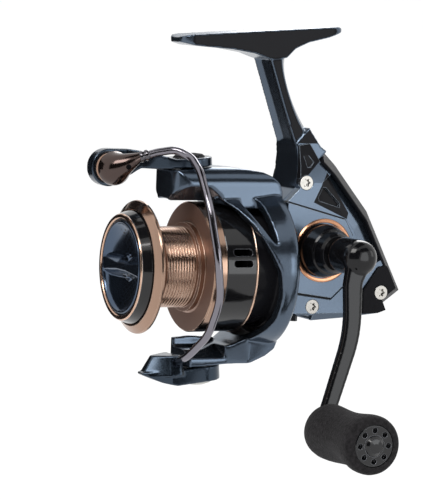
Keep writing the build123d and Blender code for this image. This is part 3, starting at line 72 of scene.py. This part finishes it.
# ------------------------------------------------------------------ camera
# Fitted to the photograph. Azimuth is counted from straight ahead of the spool towards the handle.
AZIMUTH, ELEVATION, ROLL = math.radians(64.78), math.radians(5.07), math.radians(2.15)
EYE = at(956.54, -422.26, 99.53)
FOCAL_PX = 3061.64
IMAGE_LONG_SIDE = 500
SENSOR = 36.0
CLIP_END = 100


def make_camera():
    """Places the camera and returns the direction from the reel towards it."""
    back = Vector((
        math.sin(AZIMUTH) * math.cos(ELEVATION),
        -math.cos(AZIMUTH) * math.cos(ELEVATION),
        math.sin(ELEVATION),
    ))
    level_right = Vector((0, 0, 1)).cross(back).normalized()
    level_up = back.cross(level_right)
    right = level_right * math.cos(ROLL) + level_up * math.sin(ROLL)
    up = back.cross(right)
    data = bpy.data.cameras.new("camera")
    data.sensor_width = SENSOR
    data.lens = FOCAL_PX / IMAGE_LONG_SIDE * SENSOR
    data.clip_end = CLIP_END
    camera = bpy.data.objects.new("camera", data)
    camera.matrix_world = Matrix((
        (right.x, up.x, back.x, EYE.x),
        (right.y, up.y, back.y, EYE.y),
        (right.z, up.z, back.z, EYE.z),
        (0, 0, 0, 1),
    ))
    bpy.context.scene.collection.objects.link(camera)
    bpy.context.scene.camera = camera
    bpy.context.scene.view_settings.view_transform = "Standard"
    return back


camera_side = make_camera()


# ---------------------------------------------------- shader building blocks
# The Mix node's colour sockets share their names with its other sockets, so they go by number.
MIX_FIRST, MIX_SECOND, MIX_RESULT = 6, 7, 2


def new_material(name):
    material = bpy.data.materials.new(name)
    material.use_nodes = True
    tree = material.node_tree
    return material, tree, tree.nodes["Principled BSDF"]


def feed(tree, socket, value):
    """Gives a socket a number, an (r, g, b) colour or another node's output."""
    if isinstance(value, (int, float)):
        socket.default_value = value
    elif isinstance(value, tuple):
        socket.default_value = (*value, 1)
    else:
        tree.links.new(value, socket)


def object_place(tree):
    return tree.nodes.new("ShaderNodeTexCoord").outputs["Object"]


def surface_normal(tree):
    return tree.nodes.new("ShaderNodeNewGeometry").outputs["Normal"]


def component(tree, vector, axis):
    split = tree.nodes.new("ShaderNodeSeparateXYZ")
    tree.links.new(vector, split.inputs["Vector"])
    return split.outputs[axis]


def noise(tree, scale, detail=3.0, stretch=(1, 1, 1)):
    """Noise in object space, where features are about 1/scale metres across."""
    mapping = tree.nodes.new("ShaderNodeMapping")
    mapping.inputs["Scale"].default_value = stretch
    texture = tree.nodes.new("ShaderNodeTexNoise")
    texture.inputs["Scale"].default_value = scale
    texture.inputs["Detail"].default_value = detail
    tree.links.new(object_place(tree), mapping.inputs["Vector"])
    tree.links.new(mapping.outputs["Vector"], texture.inputs["Vector"])
    return texture.outputs["Fac"]


def spread(tree, value, low, high, start=0.3, end=0.7):
    """Maps start to low and end to high, and holds those values beyond."""
    remap = tree.nodes.new("ShaderNodeMapRange")
    remap.inputs["From Min"].default_value = start
    remap.inputs["From Max"].default_value = end
    remap.inputs["To Min"].default_value = low
    remap.inputs["To Max"].default_value = high
    tree.links.new(value, remap.inputs["Value"])
    return remap.outputs["Result"]


def math_node(tree, operation, first, second=0):
    node = tree.nodes.new("ShaderNodeMath")
    node.operation = operation
    feed(tree, node.inputs[0], first)
    feed(tree, node.inputs[1], second)
    return node.outputs["Value"]


def mix_colour(tree, factor, first, second):
    node = tree.nodes.new("ShaderNodeMix")
    node.data_type = "RGBA"
    feed(tree, node.inputs["Factor"], factor)
    feed(tree, node.inputs[MIX_FIRST], first)
    feed(tree, node.inputs[MIX_SECOND], second)
    return node.outputs[MIX_RESULT]


def edge_highlight_mask(tree, radius_mm):
    """1 along sharp edges, where a pale colour is painted as a highlight, and 0 on flat and gently
    curved faces, with the rounded normal.
    """
    bevel = tree.nodes.new("ShaderNodeBevel")
    bevel.samples = 4
    bevel.inputs["Radius"].default_value = radius_mm * MM
    dot = tree.nodes.new("ShaderNodeVectorMath")
    dot.operation = "DOT_PRODUCT"
    tree.links.new(bevel.outputs["Normal"], dot.inputs[0])
    tree.links.new(surface_normal(tree), dot.inputs[1])
    return spread(tree, dot.outputs["Value"], 1.0, 0.0, 0.82, 0.97), bevel.outputs["Normal"]


def bump(tree, height, strength, distance_mm, normal=None):
    node = tree.nodes.new("ShaderNodeBump")
    node.inputs["Strength"].default_value = strength
    node.inputs["Distance"].default_value = distance_mm * MM
    tree.links.new(height, node.inputs["Height"])
    if normal is not None:
        tree.links.new(normal, node.inputs["Normal"])
    return node.outputs["Normal"]


# ------------------------------------------------------------ masks by place
def lift_along(tree, direction, y, z):
    """Millimetres from the plane through (any x, y, z), along a unit direction, in object space."""
    dot = tree.nodes.new("ShaderNodeVectorMath")
    dot.operation = "DOT_PRODUCT"
    tree.links.new(object_place(tree), dot.inputs[0])
    dot.inputs[1].default_value = tuple(c / MM for c in direction)
    start = direction[1] * (y + LIP_Y) + direction[2] * (z + SHAFT_Z)
    return math_node(tree, "SUBTRACT", dot.outputs["Value"], start)


def inside(tree, outline):
    """1 inside a convex side-view outline, given anticlockwise as (y, z), and 0 outside it."""
    soft_edge = 0.06
    nearest = None
    for (y1, z1), (y2, z2) in zip(outline, outline[1:] + outline[:1]):
        length = math.hypot(y2 - y1, z2 - z1)
        inward = (0, (z1 - z2) / length, (y2 - y1) / length)
        depth = lift_along(tree, inward, y1, z1)
        nearest = depth if nearest is None else math_node(tree, "MINIMUM", nearest, depth)
    return spread(tree, nearest, 0.0, 1.0, -soft_edge, soft_edge)


def not_beyond(tree, x):
    """0 where the surface lies further out than x towards the handle, and 1 elsewhere."""
    soft_edge = 0.05
    return spread(tree, lift_along(tree, (1, 0, 0), 0, 0), 1.0, 0.0, x - soft_edge, x + soft_edge)


def above_shaft(tree):
    return spread(tree, lift_along(tree, (0, 0, 1), 0, 0), 0.0, 1.0, 0.0, 1.0)


def highest(tree, masks):
    total = masks[0]
    for mask in masks[1:]:
        total = math_node(tree, "MAXIMUM", total, mask)
    return total


CASE_TOP_Z = 43.5


def foot_and_stem_side_shade(tree):
    """Painted shade: the flat sideways faces of the stem and foot, above the case, turned black between
    their painted edge highlights.
    """
    sideways = math_node(tree, "ABSOLUTE", component(tree, surface_normal(tree), "X"))
    above_case = spread(tree, lift_along(tree, (0, 0, 1), 0, CASE_TOP_Z), 0.0, 1.0, 0.0, 0.2)
    return math_node(tree, "MULTIPLY", spread(tree, sideways, 0.0, 1.0, 0.93, 0.98), above_case)


# Black fields of the side cover, and painted shadow lines along the raised panel's top and rear edges,
# as convex outlines of (y, z) seen from the handle's side.
UPPER_BLACK = [(50.0, 23.4), (64.5, 38.2), (70.0, 47.0), (50.0, 47.0)]
BLACK_TRIANGLE = [(61.5, 23.3), (74.7, 17.5), (75.6, 19.6), (66.6, 33.7)]
# Painted shadow: black stripes beside the raised panel's top and rear edges.
PANEL_TOP_SHADOW = [(51.2, 23.2), (73.7, 17.2), (73.9, 17.8), (51.4, 23.8)]
PANEL_REAR_SHADOW = [(73.7, 17.2), (76.8, 11.5), (77.3, 11.8), (74.2, 17.5)]
GROOVE_SHADE_FIELD = [(54.5, -11.5), (74.0, -11.5), (74.0, -5.5), (54.5, -5.5)]
COVER_FACE_X = 11.4
ABOVE_FACE, GROOVE_SINK = 0.15, 0.4


def cover_black_and_shade(tree):
    """Black paint round the cover's two windows, painted shadow along the raised panel's top and rear
    edges, and painted shade in the groove under the panel.
    """
    outlines = (UPPER_BLACK, BLACK_TRIANGLE, PANEL_TOP_SHADOW, PANEL_REAR_SHADOW)
    fields = highest(tree, [inside(tree, outline) for outline in outlines])
    on_face = not_beyond(tree, COVER_FACE_X + ABOVE_FACE)
    in_groove = not_beyond(tree, COVER_FACE_X - GROOVE_SINK)
    # Painted shade: black in the sunk groove under the panel.
    groove = math_node(tree, "MULTIPLY", inside(tree, GROOVE_SHADE_FIELD), in_groove)
    return highest(tree, [math_node(tree, "MULTIPLY", fields, on_face), groove])


ROTOR_BORE_R = 23.7


def rotor_inside(tree):
    """The rotor's surfaces that face the spool."""
    place = object_place(tree)
    up = math_node(tree, "SUBTRACT", component(tree, place, "Z"), SHAFT_Z * MM)
    squares = [
        math_node(tree, "POWER", math_node(tree, "ABSOLUTE", offset), 2.0)
        for offset in (component(tree, place, "X"), up)
    ]
    radius = math_node(tree, "SQRT", math_node(tree, "ADD", *squares))
    return spread(tree, radius, 1.0, 0.0, (ROTOR_BORE_R + 0.02) * MM, (ROTOR_BORE_R + 0.1) * MM)


FLANGE_Y = (17.0, 19.5)


def dull_shaded_flange_face(tree):
    """The front of the spool's rear flange, which is duller than the turned arbor, and darker brown as a
    painted dark reflection.
    """
    behind = spread(tree, lift_along(tree, (0, 1, 0), FLANGE_Y[0], 0), 0.0, 1.0, 0.0, 0.1)
    ahead = spread(tree, lift_along(tree, (0, 1, 0), FLANGE_Y[1], 0), 1.0, 0.0, 0.0, 0.1)
    forwards = spread(tree, component(tree, surface_normal(tree), "Y"), 1.0, 0.0, -0.97, -0.9)
    return math_node(tree, "MULTIPLY", forwards, math_node(tree, "MULTIPLY", behind, ahead))


# The cover screw on the rear ear stands EAR_RISE further out than the two others.
EAR_Y = 80.0
EAR_SCREW_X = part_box("cover_screws")[1].x / MM
EAR_RISE = 0.9
RECESS_DEPTH = 1.1


def screw_recess_shade(tree):
    """Painted shade: the star recesses, turned black."""
    on_ear = spread(tree, lift_along(tree, (0, 1, 0), EAR_Y, 0), 0.0, 1.0, 0.0, 1.0)
    sunk_on_ear = math_node(tree, "MULTIPLY", on_ear, not_beyond(tree, EAR_SCREW_X - RECESS_DEPTH))
    return highest(tree, [sunk_on_ear, not_beyond(tree, EAR_SCREW_X - EAR_RISE - RECESS_DEPTH)])


# --------------------------------------------------------------- materials
BLACK = (0.010, 0.010, 0.012)
BLUE = (0.095, 0.123, 0.163)
# Pale blue painted as a highlight along the blue paint's edges.
PAINTED_EDGE_HIGHLIGHT = (0.46, 0.54, 0.63)


def coated(
    name, colour, edge_highlight_colour, metallic, roughness, coat=0.0, edge_mm=0.35, speckle=0.0,
    black_region=None, black_roughness=None, specular=0.5, sway=0.0,
):
    """Painted, plated or polished hard surface with a painted highlight in a pale colour along its
    edges, and fine unevenness.
    """
    material, tree, shader = new_material(name)
    mask, soft_normal = edge_highlight_mask(tree, edge_mm)
    fine = noise(tree, 2600, 2.0)
    broad = noise(tree, 60, 3.0)
    darker = tuple(c * 0.94 for c in colour)
    toned = mix_colour(tree, spread(tree, broad, 0.0, 1.0), colour, darker)
    if speckle:
        toned = mix_colour(tree, spread(tree, fine, 0.0, speckle, 0.5, 0.8), toned, edge_highlight_colour)
    if black_region:
        # Black inside the region; on the stem and foot sides, along the cover panel's edges, in its
        # groove and in the screw recesses this black is painted shade.
        region = black_region(tree)
        toned = mix_colour(tree, region, toned, BLACK)
        tree.links.new(spread(tree, region, metallic, 0.0, 0.0, 1.0), shader.inputs["Metallic"])
    else:
        shader.inputs["Metallic"].default_value = metallic
    # Painted highlight: the pale edge colour mixed in along sharp edges.
    tree.links.new(mix_colour(tree, mask, toned, edge_highlight_colour), shader.inputs["Base Color"])
    rough = spread(tree, fine, roughness * 0.8, roughness * 1.25)
    if black_roughness:
        rough = math_node(tree, "MAXIMUM", rough, spread(tree, region, 0.0, black_roughness, 0.0, 1.0))
    tree.links.new(rough, shader.inputs["Roughness"])
    surface = bump(tree, fine, 0.03, 0.05, soft_normal)
    if sway:
        surface = bump(tree, noise(tree, 38, 1.0), sway, 1.5, surface)
    tree.links.new(surface, shader.inputs["Normal"])
    shader.inputs["Coat Weight"].default_value = coat
    shader.inputs["Coat Roughness"].default_value = 0.05
    shader.inputs["Specular IOR Level"].default_value = specular
    return material


def blue_paint(name, black_region):
    """Metallic blue with a painted highlight in a pale colour along its edges, and black inside the
    region.
    """
    return coated(
        name, BLUE, PAINTED_EDGE_HIGHLIGHT, 0.92, 0.2, coat=0.04, edge_mm=0.3, speckle=0.06,
        black_region=black_region, specular=0.05, sway=0.5,
    )


def foam_material():
    """Closed-cell foam: small round cells with a coarser grain over them."""
    material, tree, shader = new_material("grip_foam_closed_cell")
    cells = tree.nodes.new("ShaderNodeTexVoronoi")
    cells.inputs["Scale"].default_value = 1900
    tree.links.new(object_place(tree), cells.inputs["Vector"])
    grain = noise(tree, 900, 5.0)
    height = math_node(tree, "ADD", cells.outputs["Distance"], grain)
    tree.links.new(bump(tree, height, 0.55, 0.25), shader.inputs["Normal"])
    dark, light = (0.005, 0.0045, 0.005), (0.022, 0.020, 0.022)
    toned = mix_colour(tree, spread(tree, grain, 0.0, 1.0), dark, light)
    tree.links.new(toned, shader.inputs["Base Color"])
    shader.inputs["Roughness"].default_value = 0.88
    shader.inputs["Sheen Weight"].default_value = 0.05
    shader.inputs["Specular IOR Level"].default_value = 0.25
    return material


DISH_FLOOR_Y = -2.5
DIMPLE_PITCH_X, DIMPLE_PITCH_Z = 3.2, 2.2


def dish_material():
    """Steel-blue dish whose hollows have a fine grid of dimples beside the grip bar, each painted
    near-black inside as shade.
    """
    material, tree, shader = new_material("dish_dimpled_blue")
    mask, soft_normal = edge_highlight_mask(tree, 0.4)
    place = object_place(tree)
    waves = []
    for axis, pitch in (("X", DIMPLE_PITCH_X), ("Z", DIMPLE_PITCH_Z)):
        angle = math_node(tree, "MULTIPLY", component(tree, place, axis), 2 * math.pi / (pitch * MM))
        waves.append(math_node(tree, "SINE", angle))
    shaded_dimples = spread(tree, math_node(tree, "MULTIPLY", *waves), 0.0, 1.0, 0.3, 0.5)
    deep = spread(tree, lift_along(tree, (0, 1, 0), DISH_FLOOR_Y, 0), 0.0, 1.0, -2.2, -1.8)
    towards_handle = spread(tree, lift_along(tree, (1, 0, 0), 0, 0), 0.0, 1.0, -5.0, -3.0)
    shaded_dimples = math_node(tree, "MULTIPLY", shaded_dimples, math_node(tree, "MULTIPLY", deep, towards_handle))
    # Painted shade: the dimples turn near-black.
    colour = mix_colour(tree, shaded_dimples, (0.08, 0.11, 0.16), (0.004, 0.005, 0.007))
    # Painted highlight: pale blue-grey along the dish's sharp edges.
    tree.links.new(mix_colour(tree, mask, colour, (0.55, 0.64, 0.74)), shader.inputs["Base Color"])
    tree.links.new(bump(tree, shaded_dimples, -0.6, 0.3, soft_normal), shader.inputs["Normal"])
    shader.inputs["Metallic"].default_value = 0.95
    shader.inputs["Roughness"].default_value = 0.16
    return material


def spool_material():
    """Anodised and turned: fine rings of tool marks round the spool's axis."""
    material, tree, shader = new_material("spool_anodised")
    mask, soft_normal = edge_highlight_mask(tree, 0.25)
    marks = noise(tree, 900, 4.0, stretch=(0.02, 4.0, 0.02))
    broad = spread(tree, noise(tree, 40, 2.0), 0.0, 1.0)
    flange = dull_shaded_flange_face(tree)
    colour = mix_colour(tree, broad, (0.41, 0.27, 0.20), (0.34, 0.222, 0.165))
    # Painted dark reflection: darker brown on the flange's front face.
    colour = mix_colour(tree, flange, colour, (0.36, 0.25, 0.21))
    # Painted highlight: pale rose along the spool's sharp edges.
    tree.links.new(mix_colour(tree, mask, colour, (0.86, 0.68, 0.56)), shader.inputs["Base Color"])
    dull_flange = math_node(tree, "MULTIPLY", flange, 0.6)
    rough = math_node(tree, "MAXIMUM", spread(tree, marks, 0.13, 0.22), dull_flange)
    tree.links.new(rough, shader.inputs["Roughness"])
    tree.links.new(bump(tree, marks, 0.04, 0.04, soft_normal), shader.inputs["Normal"])
    shader.inputs["Metallic"].default_value = 1.0
    return material


# In each coated line: name, colour, colour of the painted edge highlight, metallic, roughness, then the
# coat's weight.
MATERIALS = {
    "blue_housing": blue_paint("paint_blue_housing", foot_and_stem_side_shade),
    "blue_cover": blue_paint("paint_blue_cover", cover_black_and_shade),
    "blue_rotor": blue_paint("paint_blue_rotor", rotor_inside),
    "dark_blue": coated(
        "paint_dark_blue", (0.042, 0.058, 0.080), (0.38, 0.45, 0.53), 0.9, 0.18, 0.1, specular=0.2,
    ),
    "black": coated(
        "paint_gloss_black", (0.008, 0.008, 0.009), (0.24, 0.25, 0.28), 0.2, 0.12, 0.5, specular=0.3,
    ),
    "satin_black": coated(
        "paint_satin_black", (0.010, 0.010, 0.012), (0.07, 0.07, 0.08), 0.1, 0.42, specular=0.07,
    ),
    "handle": coated(
        "handle_gloss_black", (0.006, 0.006, 0.007), (0.05, 0.05, 0.055), 0.1, 0.12, 0.3, specular=0.2,
    ),
    "gold": spool_material(),
    "rim_gold": coated("rim_rose_gold", (0.68, 0.44, 0.32), (0.94, 0.76, 0.64), 1.0, 0.16),
    "copper": coated("ring_copper", (0.58, 0.29, 0.165), (0.80, 0.52, 0.38), 1.0, 0.2),
    "bronze": coated("cone_bronze", (0.080, 0.056, 0.050), (0.30, 0.23, 0.20), 0.95, 0.14, 0.2),
    "wire": coated("wire_gunmetal", (0.23, 0.22, 0.25), (0.40, 0.40, 0.44), 1.0, 0.14),
    "pin_black": coated(
        "pin_black", (0.004, 0.004, 0.005), (0.010, 0.010, 0.012), 0.0, 0.7, edge_mm=0.08, specular=0.05,
    ),
    "smoked": coated(
        "collar_smoked", (0.12, 0.115, 0.125), (0.26, 0.25, 0.27), 1.0, 0.15, edge_mm=0.1,
    ),
    "silver": coated(
        "screw_bright", (0.34, 0.325, 0.30), (0.92, 0.92, 0.90), 1.0, 0.16, edge_mm=0.12,
        black_region=screw_recess_shade, specular=0.2,
    ),
    "pivot_silver": coated(
        "pivot_screw_bright", (0.46, 0.46, 0.44), (0.70, 0.70, 0.68), 1.0, 0.16, edge_mm=0.1,
        black_region=above_shaft, black_roughness=0.8, specular=0.1,
    ),
    "steel": coated("steel_bare", (0.52, 0.52, 0.54), (0.80, 0.80, 0.82), 1.0, 0.28),
    "brass": coated("brass_machined", (0.66, 0.50, 0.25), (0.90, 0.78, 0.50), 1.0, 0.3),
    "alloy": coated("alloy_cast", (0.50, 0.51, 0.53), (0.75, 0.76, 0.78), 0.9, 0.42),
    "plastic": coated("plastic_dark", (0.022, 0.022, 0.025), (0.10, 0.10, 0.11), 0.0, 0.45),
    "felt": coated("felt_oiled", (0.10, 0.08, 0.06), (0.16, 0.13, 0.10), 0.0, 0.9),
    "lead": coated("weight_cast", (0.16, 0.16, 0.17), (0.34, 0.34, 0.36), 0.8, 0.55),
    "foam": foam_material(),
    "dish": dish_material(),
}

NODE_LOOKS = {
    "blue_housing": "body_housing",
    "blue_cover": "side_cover",
    "blue_rotor": "rotor",
    "dark_blue": "bail_arm bail_lever",
    "satin_black": "rear_cover axle_cap",
    "black": "spool_skirt drag_knob grip_cap",
    "handle": "crank_collar handle_arm",
    "gold": "spool line_roller",
    "rim_gold": "knob_rim skirt_ring",
    "copper": "crank_ring",
    "bronze": "roller_cone",
    "wire": "bail_wire",
    "silver": "cover_screws",
    "pivot_silver": "bail_pivot_screws",
    "dish": "knob_dish",
    "foam": "grip_foam",
    "plastic": "grip_sleeve brake_ring click_gear oscillation_gear anti_reverse_lever",
    "felt": "drag_washers",
    "lead": "balance_weight",
    "brass": "pinion_gear rotor_nut pinion_bushing spool_seat knob_nut",
    "alloy": "drive_gear oscillation_pinion oscillation_slider",
    "steel": (
        "crank_bearings pinion_bearing anti_reverse_clutch clutch_retainer retainer_screws guide_rod "
        "oscillation_axle crank_shaft grip_axle grip_axle_screw grip_bearings rotor_lock_screw "
        "bail_spring roller_screw roller_bearing main_shaft slider_screw drag_key_washers "
        "drag_retaining_ring knob_spring"
    ),
}
for look, names in NODE_LOOKS.items():
    for name in names.split():
        nodes[name].data.materials.clear()
        nodes[name].data.materials.append(MATERIALS[look])


# ---------------------------------------------------------- softened castings
# Node, voxel size in millimetres, smoothing passes and the share of the faces that is kept.
SOFTENED = (
    ("handle_arm", 0.25, 80, 0.5),
    ("bail_arm", 0.25, 20, 0.5),
    ("bail_lever", 0.25, 16, 0.5),
    ("rotor", 0.4, 9, 0.4),
    ("body_housing", 0.4, 6, 0.4),
    ("rear_cover", 0.25, 6, 0.4),
    ("knob_dish", 0.25, 14, 0.5),
)


def soften(name, voxel_mm, passes, kept_share):
    """Rounds a node's edges all over, as a casting's are after tumbling and paint."""
    remesh = nodes[name].modifiers.new("even_skin", "REMESH")
    remesh.mode = "VOXEL"
    remesh.voxel_size = voxel_mm * MM
    remesh.use_smooth_shade = True
    smooth = nodes[name].modifiers.new("tumbled", "SMOOTH")
    smooth.factor = 0.5
    smooth.iterations = passes
    thin = nodes[name].modifiers.new("fewer_faces", "DECIMATE")
    thin.ratio = kept_share


for casting in SOFTENED:
    soften(*casting)


# ------------------------------------------------- pieces of the scene's own
def skin(name, rings, look, body, end_to_end=False, corner_degrees=40):
    """Closed mesh through rings of points; its ends are capped, or joined where end_to_end."""
    made = bmesh.new()
    loops = [[made.verts.new(point) for point in ring] for ring in rings]
    pairs = list(zip(loops, loops[1:]))
    if end_to_end:
        pairs.append((loops[-1], loops[0]))
    else:
        made.faces.new(loops[0])
        made.faces.new(loops[-1])
    for one, two in pairs:
        for k in range(len(one)):
            made.faces.new((one[k - 1], one[k], two[k], two[k - 1]))
    bmesh.ops.recalc_face_normals(made, faces=made.faces)
    mesh = bpy.data.meshes.new(name)
    made.to_mesh(mesh)
    made.free()
    for face in mesh.polygons:
        face.use_smooth = True
    mesh.set_sharp_from_angle(angle=math.radians(corner_degrees))
    mesh.materials.append(MATERIALS[look])
    piece = bpy.data.objects.new(name, mesh)
    bpy.context.scene.collection.objects.link(piece)
    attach(piece, body)
    return piece


def angles_round(count):
    return [2 * math.pi * k / count for k in range(count)]


def circle(centre, axis, radius):
    turn = axis.to_track_quat("Z", "Y")
    return [centre + turn @ Vector((math.cos(a), math.sin(a), 0)) * radius for a in angles_round(48)]


def turned(name, start, axis, profile, look, body):
    """Lathe-turned piece on an axis, from (millimetres along, radius in millimetres)."""
    axis = axis.normalized()
    rings = [circle(start + axis * along * MM, axis, radius * MM) for along, radius in profile]
    return skin(name, rings, look, body)


# The grip from its inner to its outer end, as (share of the length, radius in millimetres).
GRIP_PROFILE = [
    (0.0, 7.5), (0.012, 8.3), (0.035, 9.0), (0.08, 9.5), (0.16, 9.7), (0.24, 9.65), (0.32, 9.5),
    (0.4, 9.3), (0.48, 9.15), (0.56, 9.1), (0.64, 9.2), (0.71, 9.4), (0.78, 9.65), (0.84, 9.88),
    (0.89, 9.98), (0.935, 9.95), (0.965, 9.7), (0.985, 9.2), (0.996, 8.5), (1.0, 7.9),
]
SCOOP = 0.16               # share of the radius taken off by the thumb and finger scoops
SCOOP_END = 0.82           # share of the length where the scoops run out
CAP_SEAT = 2.2
SLEEVE_GAP, CAP_GAP = 0.03, 0.05


def ring_round_x(x, middle, reach):
    """Points round a line along x through the middle, as far out as reach says for each angle."""
    return [
        Vector((x, middle.y + math.cos(a) * reach(a), middle.z + math.sin(a) * reach(a)))
        for a in angles_round(96)
    ]


def make_grip():
    """Waisted foam grip with a thumb scoop and a finger scoop, bored for its sleeve and cap."""
    low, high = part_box("grip_foam")
    middle = (low + high) / 2
    length = high.x - low.x
    bore = (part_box("grip_sleeve")[1].z - middle.z) + SLEEVE_GAP * MM
    seat = (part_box("grip_cap")[1].z - middle.z) + CAP_GAP * MM
    rings = []
    for share, radius in GRIP_PROFILE:
        depth = SCOOP * math.sin(math.pi * min(share / SCOOP_END, 1))

        def outline(angle):
            return radius * MM * (1 - depth * max(0.0, math.sin(2 * angle)) ** 1.3)

        rings.append(ring_round_x(low.x + share * length, middle, outline))
    seat_floor = high.x - CAP_SEAT * MM
    for x, radius in ((high.x, seat), (seat_floor, seat), (seat_floor, bore), (low.x, bore)):
        rings.append(ring_round_x(x, middle, lambda angle: radius))
    grip = skin("grip_foam_moulded", rings, "foam", "grip", end_to_end=True)
    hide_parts("grip_foam")


make_grip()

# Collar where the wire leaves the roller cone.
WIRE_START, WIRE_WAY = at(6.4, -2.6, 38.2), Vector((1.2, 5.6, 1.7))
wire_collar = turned("wire_collar", WIRE_START, WIRE_WAY, [
    (-0.7, 1.45), (-0.4, 1.8), (0.3, 1.95), (0.9, 1.9), (1.2, 1.65), (1.5, 1.65), (1.8, 1.9),
    (2.4, 1.95), (2.9, 1.75), (3.1, 1.38),
], "smoked", "bail")

# Pin seen in the cone's side.
PIN_AT, PIN_WAY = at(7.59, -7.44, 34.83), Vector((0.957, -0.082, -0.279))
cone_pin = turned("cone_pin", PIN_AT, PIN_WAY, [
    (-0.8, 0.9), (0.12, 0.9), (0.2, 0.8), (0.2, 0.05),
], "pin_black", "bail")


# ------------------------------------------------------- floor and lights
FLOOR_DROP = 0.06
FLOOR_SIZE = 80
MIDDLE = at(10, 35, 0)


def seen_directly(tree):
    """1 for rays from the camera, from glossy surfaces and through glass."""
    path = tree.nodes.new("ShaderNodeLightPath")
    rays = ("Is Camera Ray", "Is Glossy Ray", "Is Transmission Ray")
    return highest(tree, [path.outputs[ray] for ray in rays])


def make_world():
    """Plain soft light that is white where it is seen."""
    world = bpy.data.worlds.new("studio")
    bpy.context.scene.world = world
    world.use_nodes = True
    tree = world.node_tree
    ambient = tree.nodes["Background"]
    ambient.inputs["Color"].default_value = (0.95, 0.97, 1.0, 1)
    ambient.inputs["Strength"].default_value = 0.45
    backdrop = tree.nodes.new("ShaderNodeBackground")
    backdrop.inputs["Color"].default_value = (1, 1, 1, 1)
    backdrop.inputs["Strength"].default_value = 1.0
    mix = tree.nodes.new("ShaderNodeMixShader")
    tree.links.new(seen_directly(tree), mix.inputs["Fac"])
    tree.links.new(ambient.outputs["Background"], mix.inputs[1])
    tree.links.new(backdrop.outputs["Background"], mix.inputs[2])
    tree.links.new(mix.outputs["Shader"], tree.nodes["World Output"].inputs["Surface"])


def flat_object(name, width, height, material, matrix):
    mesh = bpy.data.meshes.new(name)
    w, h = width / 2, height / 2
    mesh.from_pydata([(-w, -h, 0), (w, -h, 0), (w, h, 0), (-w, h, 0)], [], [(0, 1, 2, 3)])
    mesh.materials.append(material)
    made = bpy.data.objects.new(name, mesh)
    made.matrix_world = matrix
    bpy.context.scene.collection.objects.link(made)
    return made


def make_floor():
    """Pale floor below the reel, lifted to white where it is seen, with the reel's shadow left in."""
    material, tree, shader = new_material("floor_pale")
    shader.inputs["Base Color"].default_value = (0.86, 0.86, 0.87, 1)
    shader.inputs["Roughness"].default_value = 0.9
    glow = tree.nodes.new("ShaderNodeEmission")
    glow.inputs["Strength"].default_value = 1.1
    mix = tree.nodes.new("ShaderNodeMixShader")
    tree.links.new(math_node(tree, "MULTIPLY", seen_directly(tree), 0.87), mix.inputs["Fac"])
    tree.links.new(shader.outputs["BSDF"], mix.inputs[1])
    tree.links.new(glow.outputs["Emission"], mix.inputs[2])
    tree.links.new(mix.outputs["Shader"], tree.nodes["Material Output"].inputs["Surface"])
    height = cad_box[0].z - FLOOR_DROP
    flat_object("floor", FLOOR_SIZE, FLOOR_SIZE, material, Matrix.Translation((0, 0, height)))


def facing_middle(direction, distance):
    """Matrix of something that far out from the reel's middle, whose -Z looks at the middle."""
    outwards = Vector(direction).normalized()
    turn = (-outwards).to_track_quat("-Z", "Y").to_matrix().to_4x4()
    return Matrix.Translation(MIDDLE + outwards * distance) @ turn


def area_light(name, direction, distance, width, height, watts, colour=(1, 1, 1)):
    data = bpy.data.lights.new(name, "AREA")
    data.shape = "RECTANGLE"
    data.size = width
    data.size_y = height
    data.energy = watts
    data.color = colour
    made = bpy.data.objects.new(name, data)
    made.matrix_world = facing_middle(direction, distance)
    bpy.context.scene.collection.objects.link(made)


def dark_card(name, direction, distance, width, height):
    """Black studio card, seen only in reflections."""
    material, _, shader = new_material(name + "_black")
    shader.inputs["Base Color"].default_value = (0.01, 0.01, 0.012, 1)
    shader.inputs["Roughness"].default_value = 1.0
    card = flat_object(name, width, height, material, facing_middle(direction, distance))
    card.visible_camera = False
    card.visible_diffuse = False
    card.visible_shadow = False
    card.visible_transmission = False


# Name, direction from the reel's middle, distance, width and height in metres, and for a light
# its watts and colour.
LIGHTS = (
    ("key", (0.55, -0.60, 0.75), 0.9, 0.55, 0.35, 4.5, (1.0, 0.98, 0.96)),
    ("side", (0.95, 0.45, 0.08), 1.0, 0.35, 0.4, 0.9, (0.95, 0.98, 1.0)),
    ("rear_strip", (0.51, 0.84, 0.19), 1.0, 0.22, 0.3, 0.35),
    ("low", (0.55, -0.55, -0.25), 0.9, 0.6, 0.18, 1.6),
    ("rear", (-0.7, 0.6, 0.6), 1.0, 0.5, 0.5, 3.0),
)
CARDS = (
    ("card_front", (camera_side.x, camera_side.y - 0.18, 0.30), 1.4, 2.4, 1.2),
    ("card_under", (-0.92, -0.37, -0.12), 0.45, 0.6, 0.3),
    ("card_left", (-0.80, -0.60, 0.10), 1.2, 1.8, 1.1),
    ("card_side", (0.87, 0.47, 0.55), 1.0, 0.6, 0.35),
    ("card_top", (0.15, 0.1, 1.0), 0.9, 0.8, 0.5),
)

make_world()
make_floor()
for light in LIGHTS:
    area_light(*light)
for card in CARDS:
    dark_card(*card)
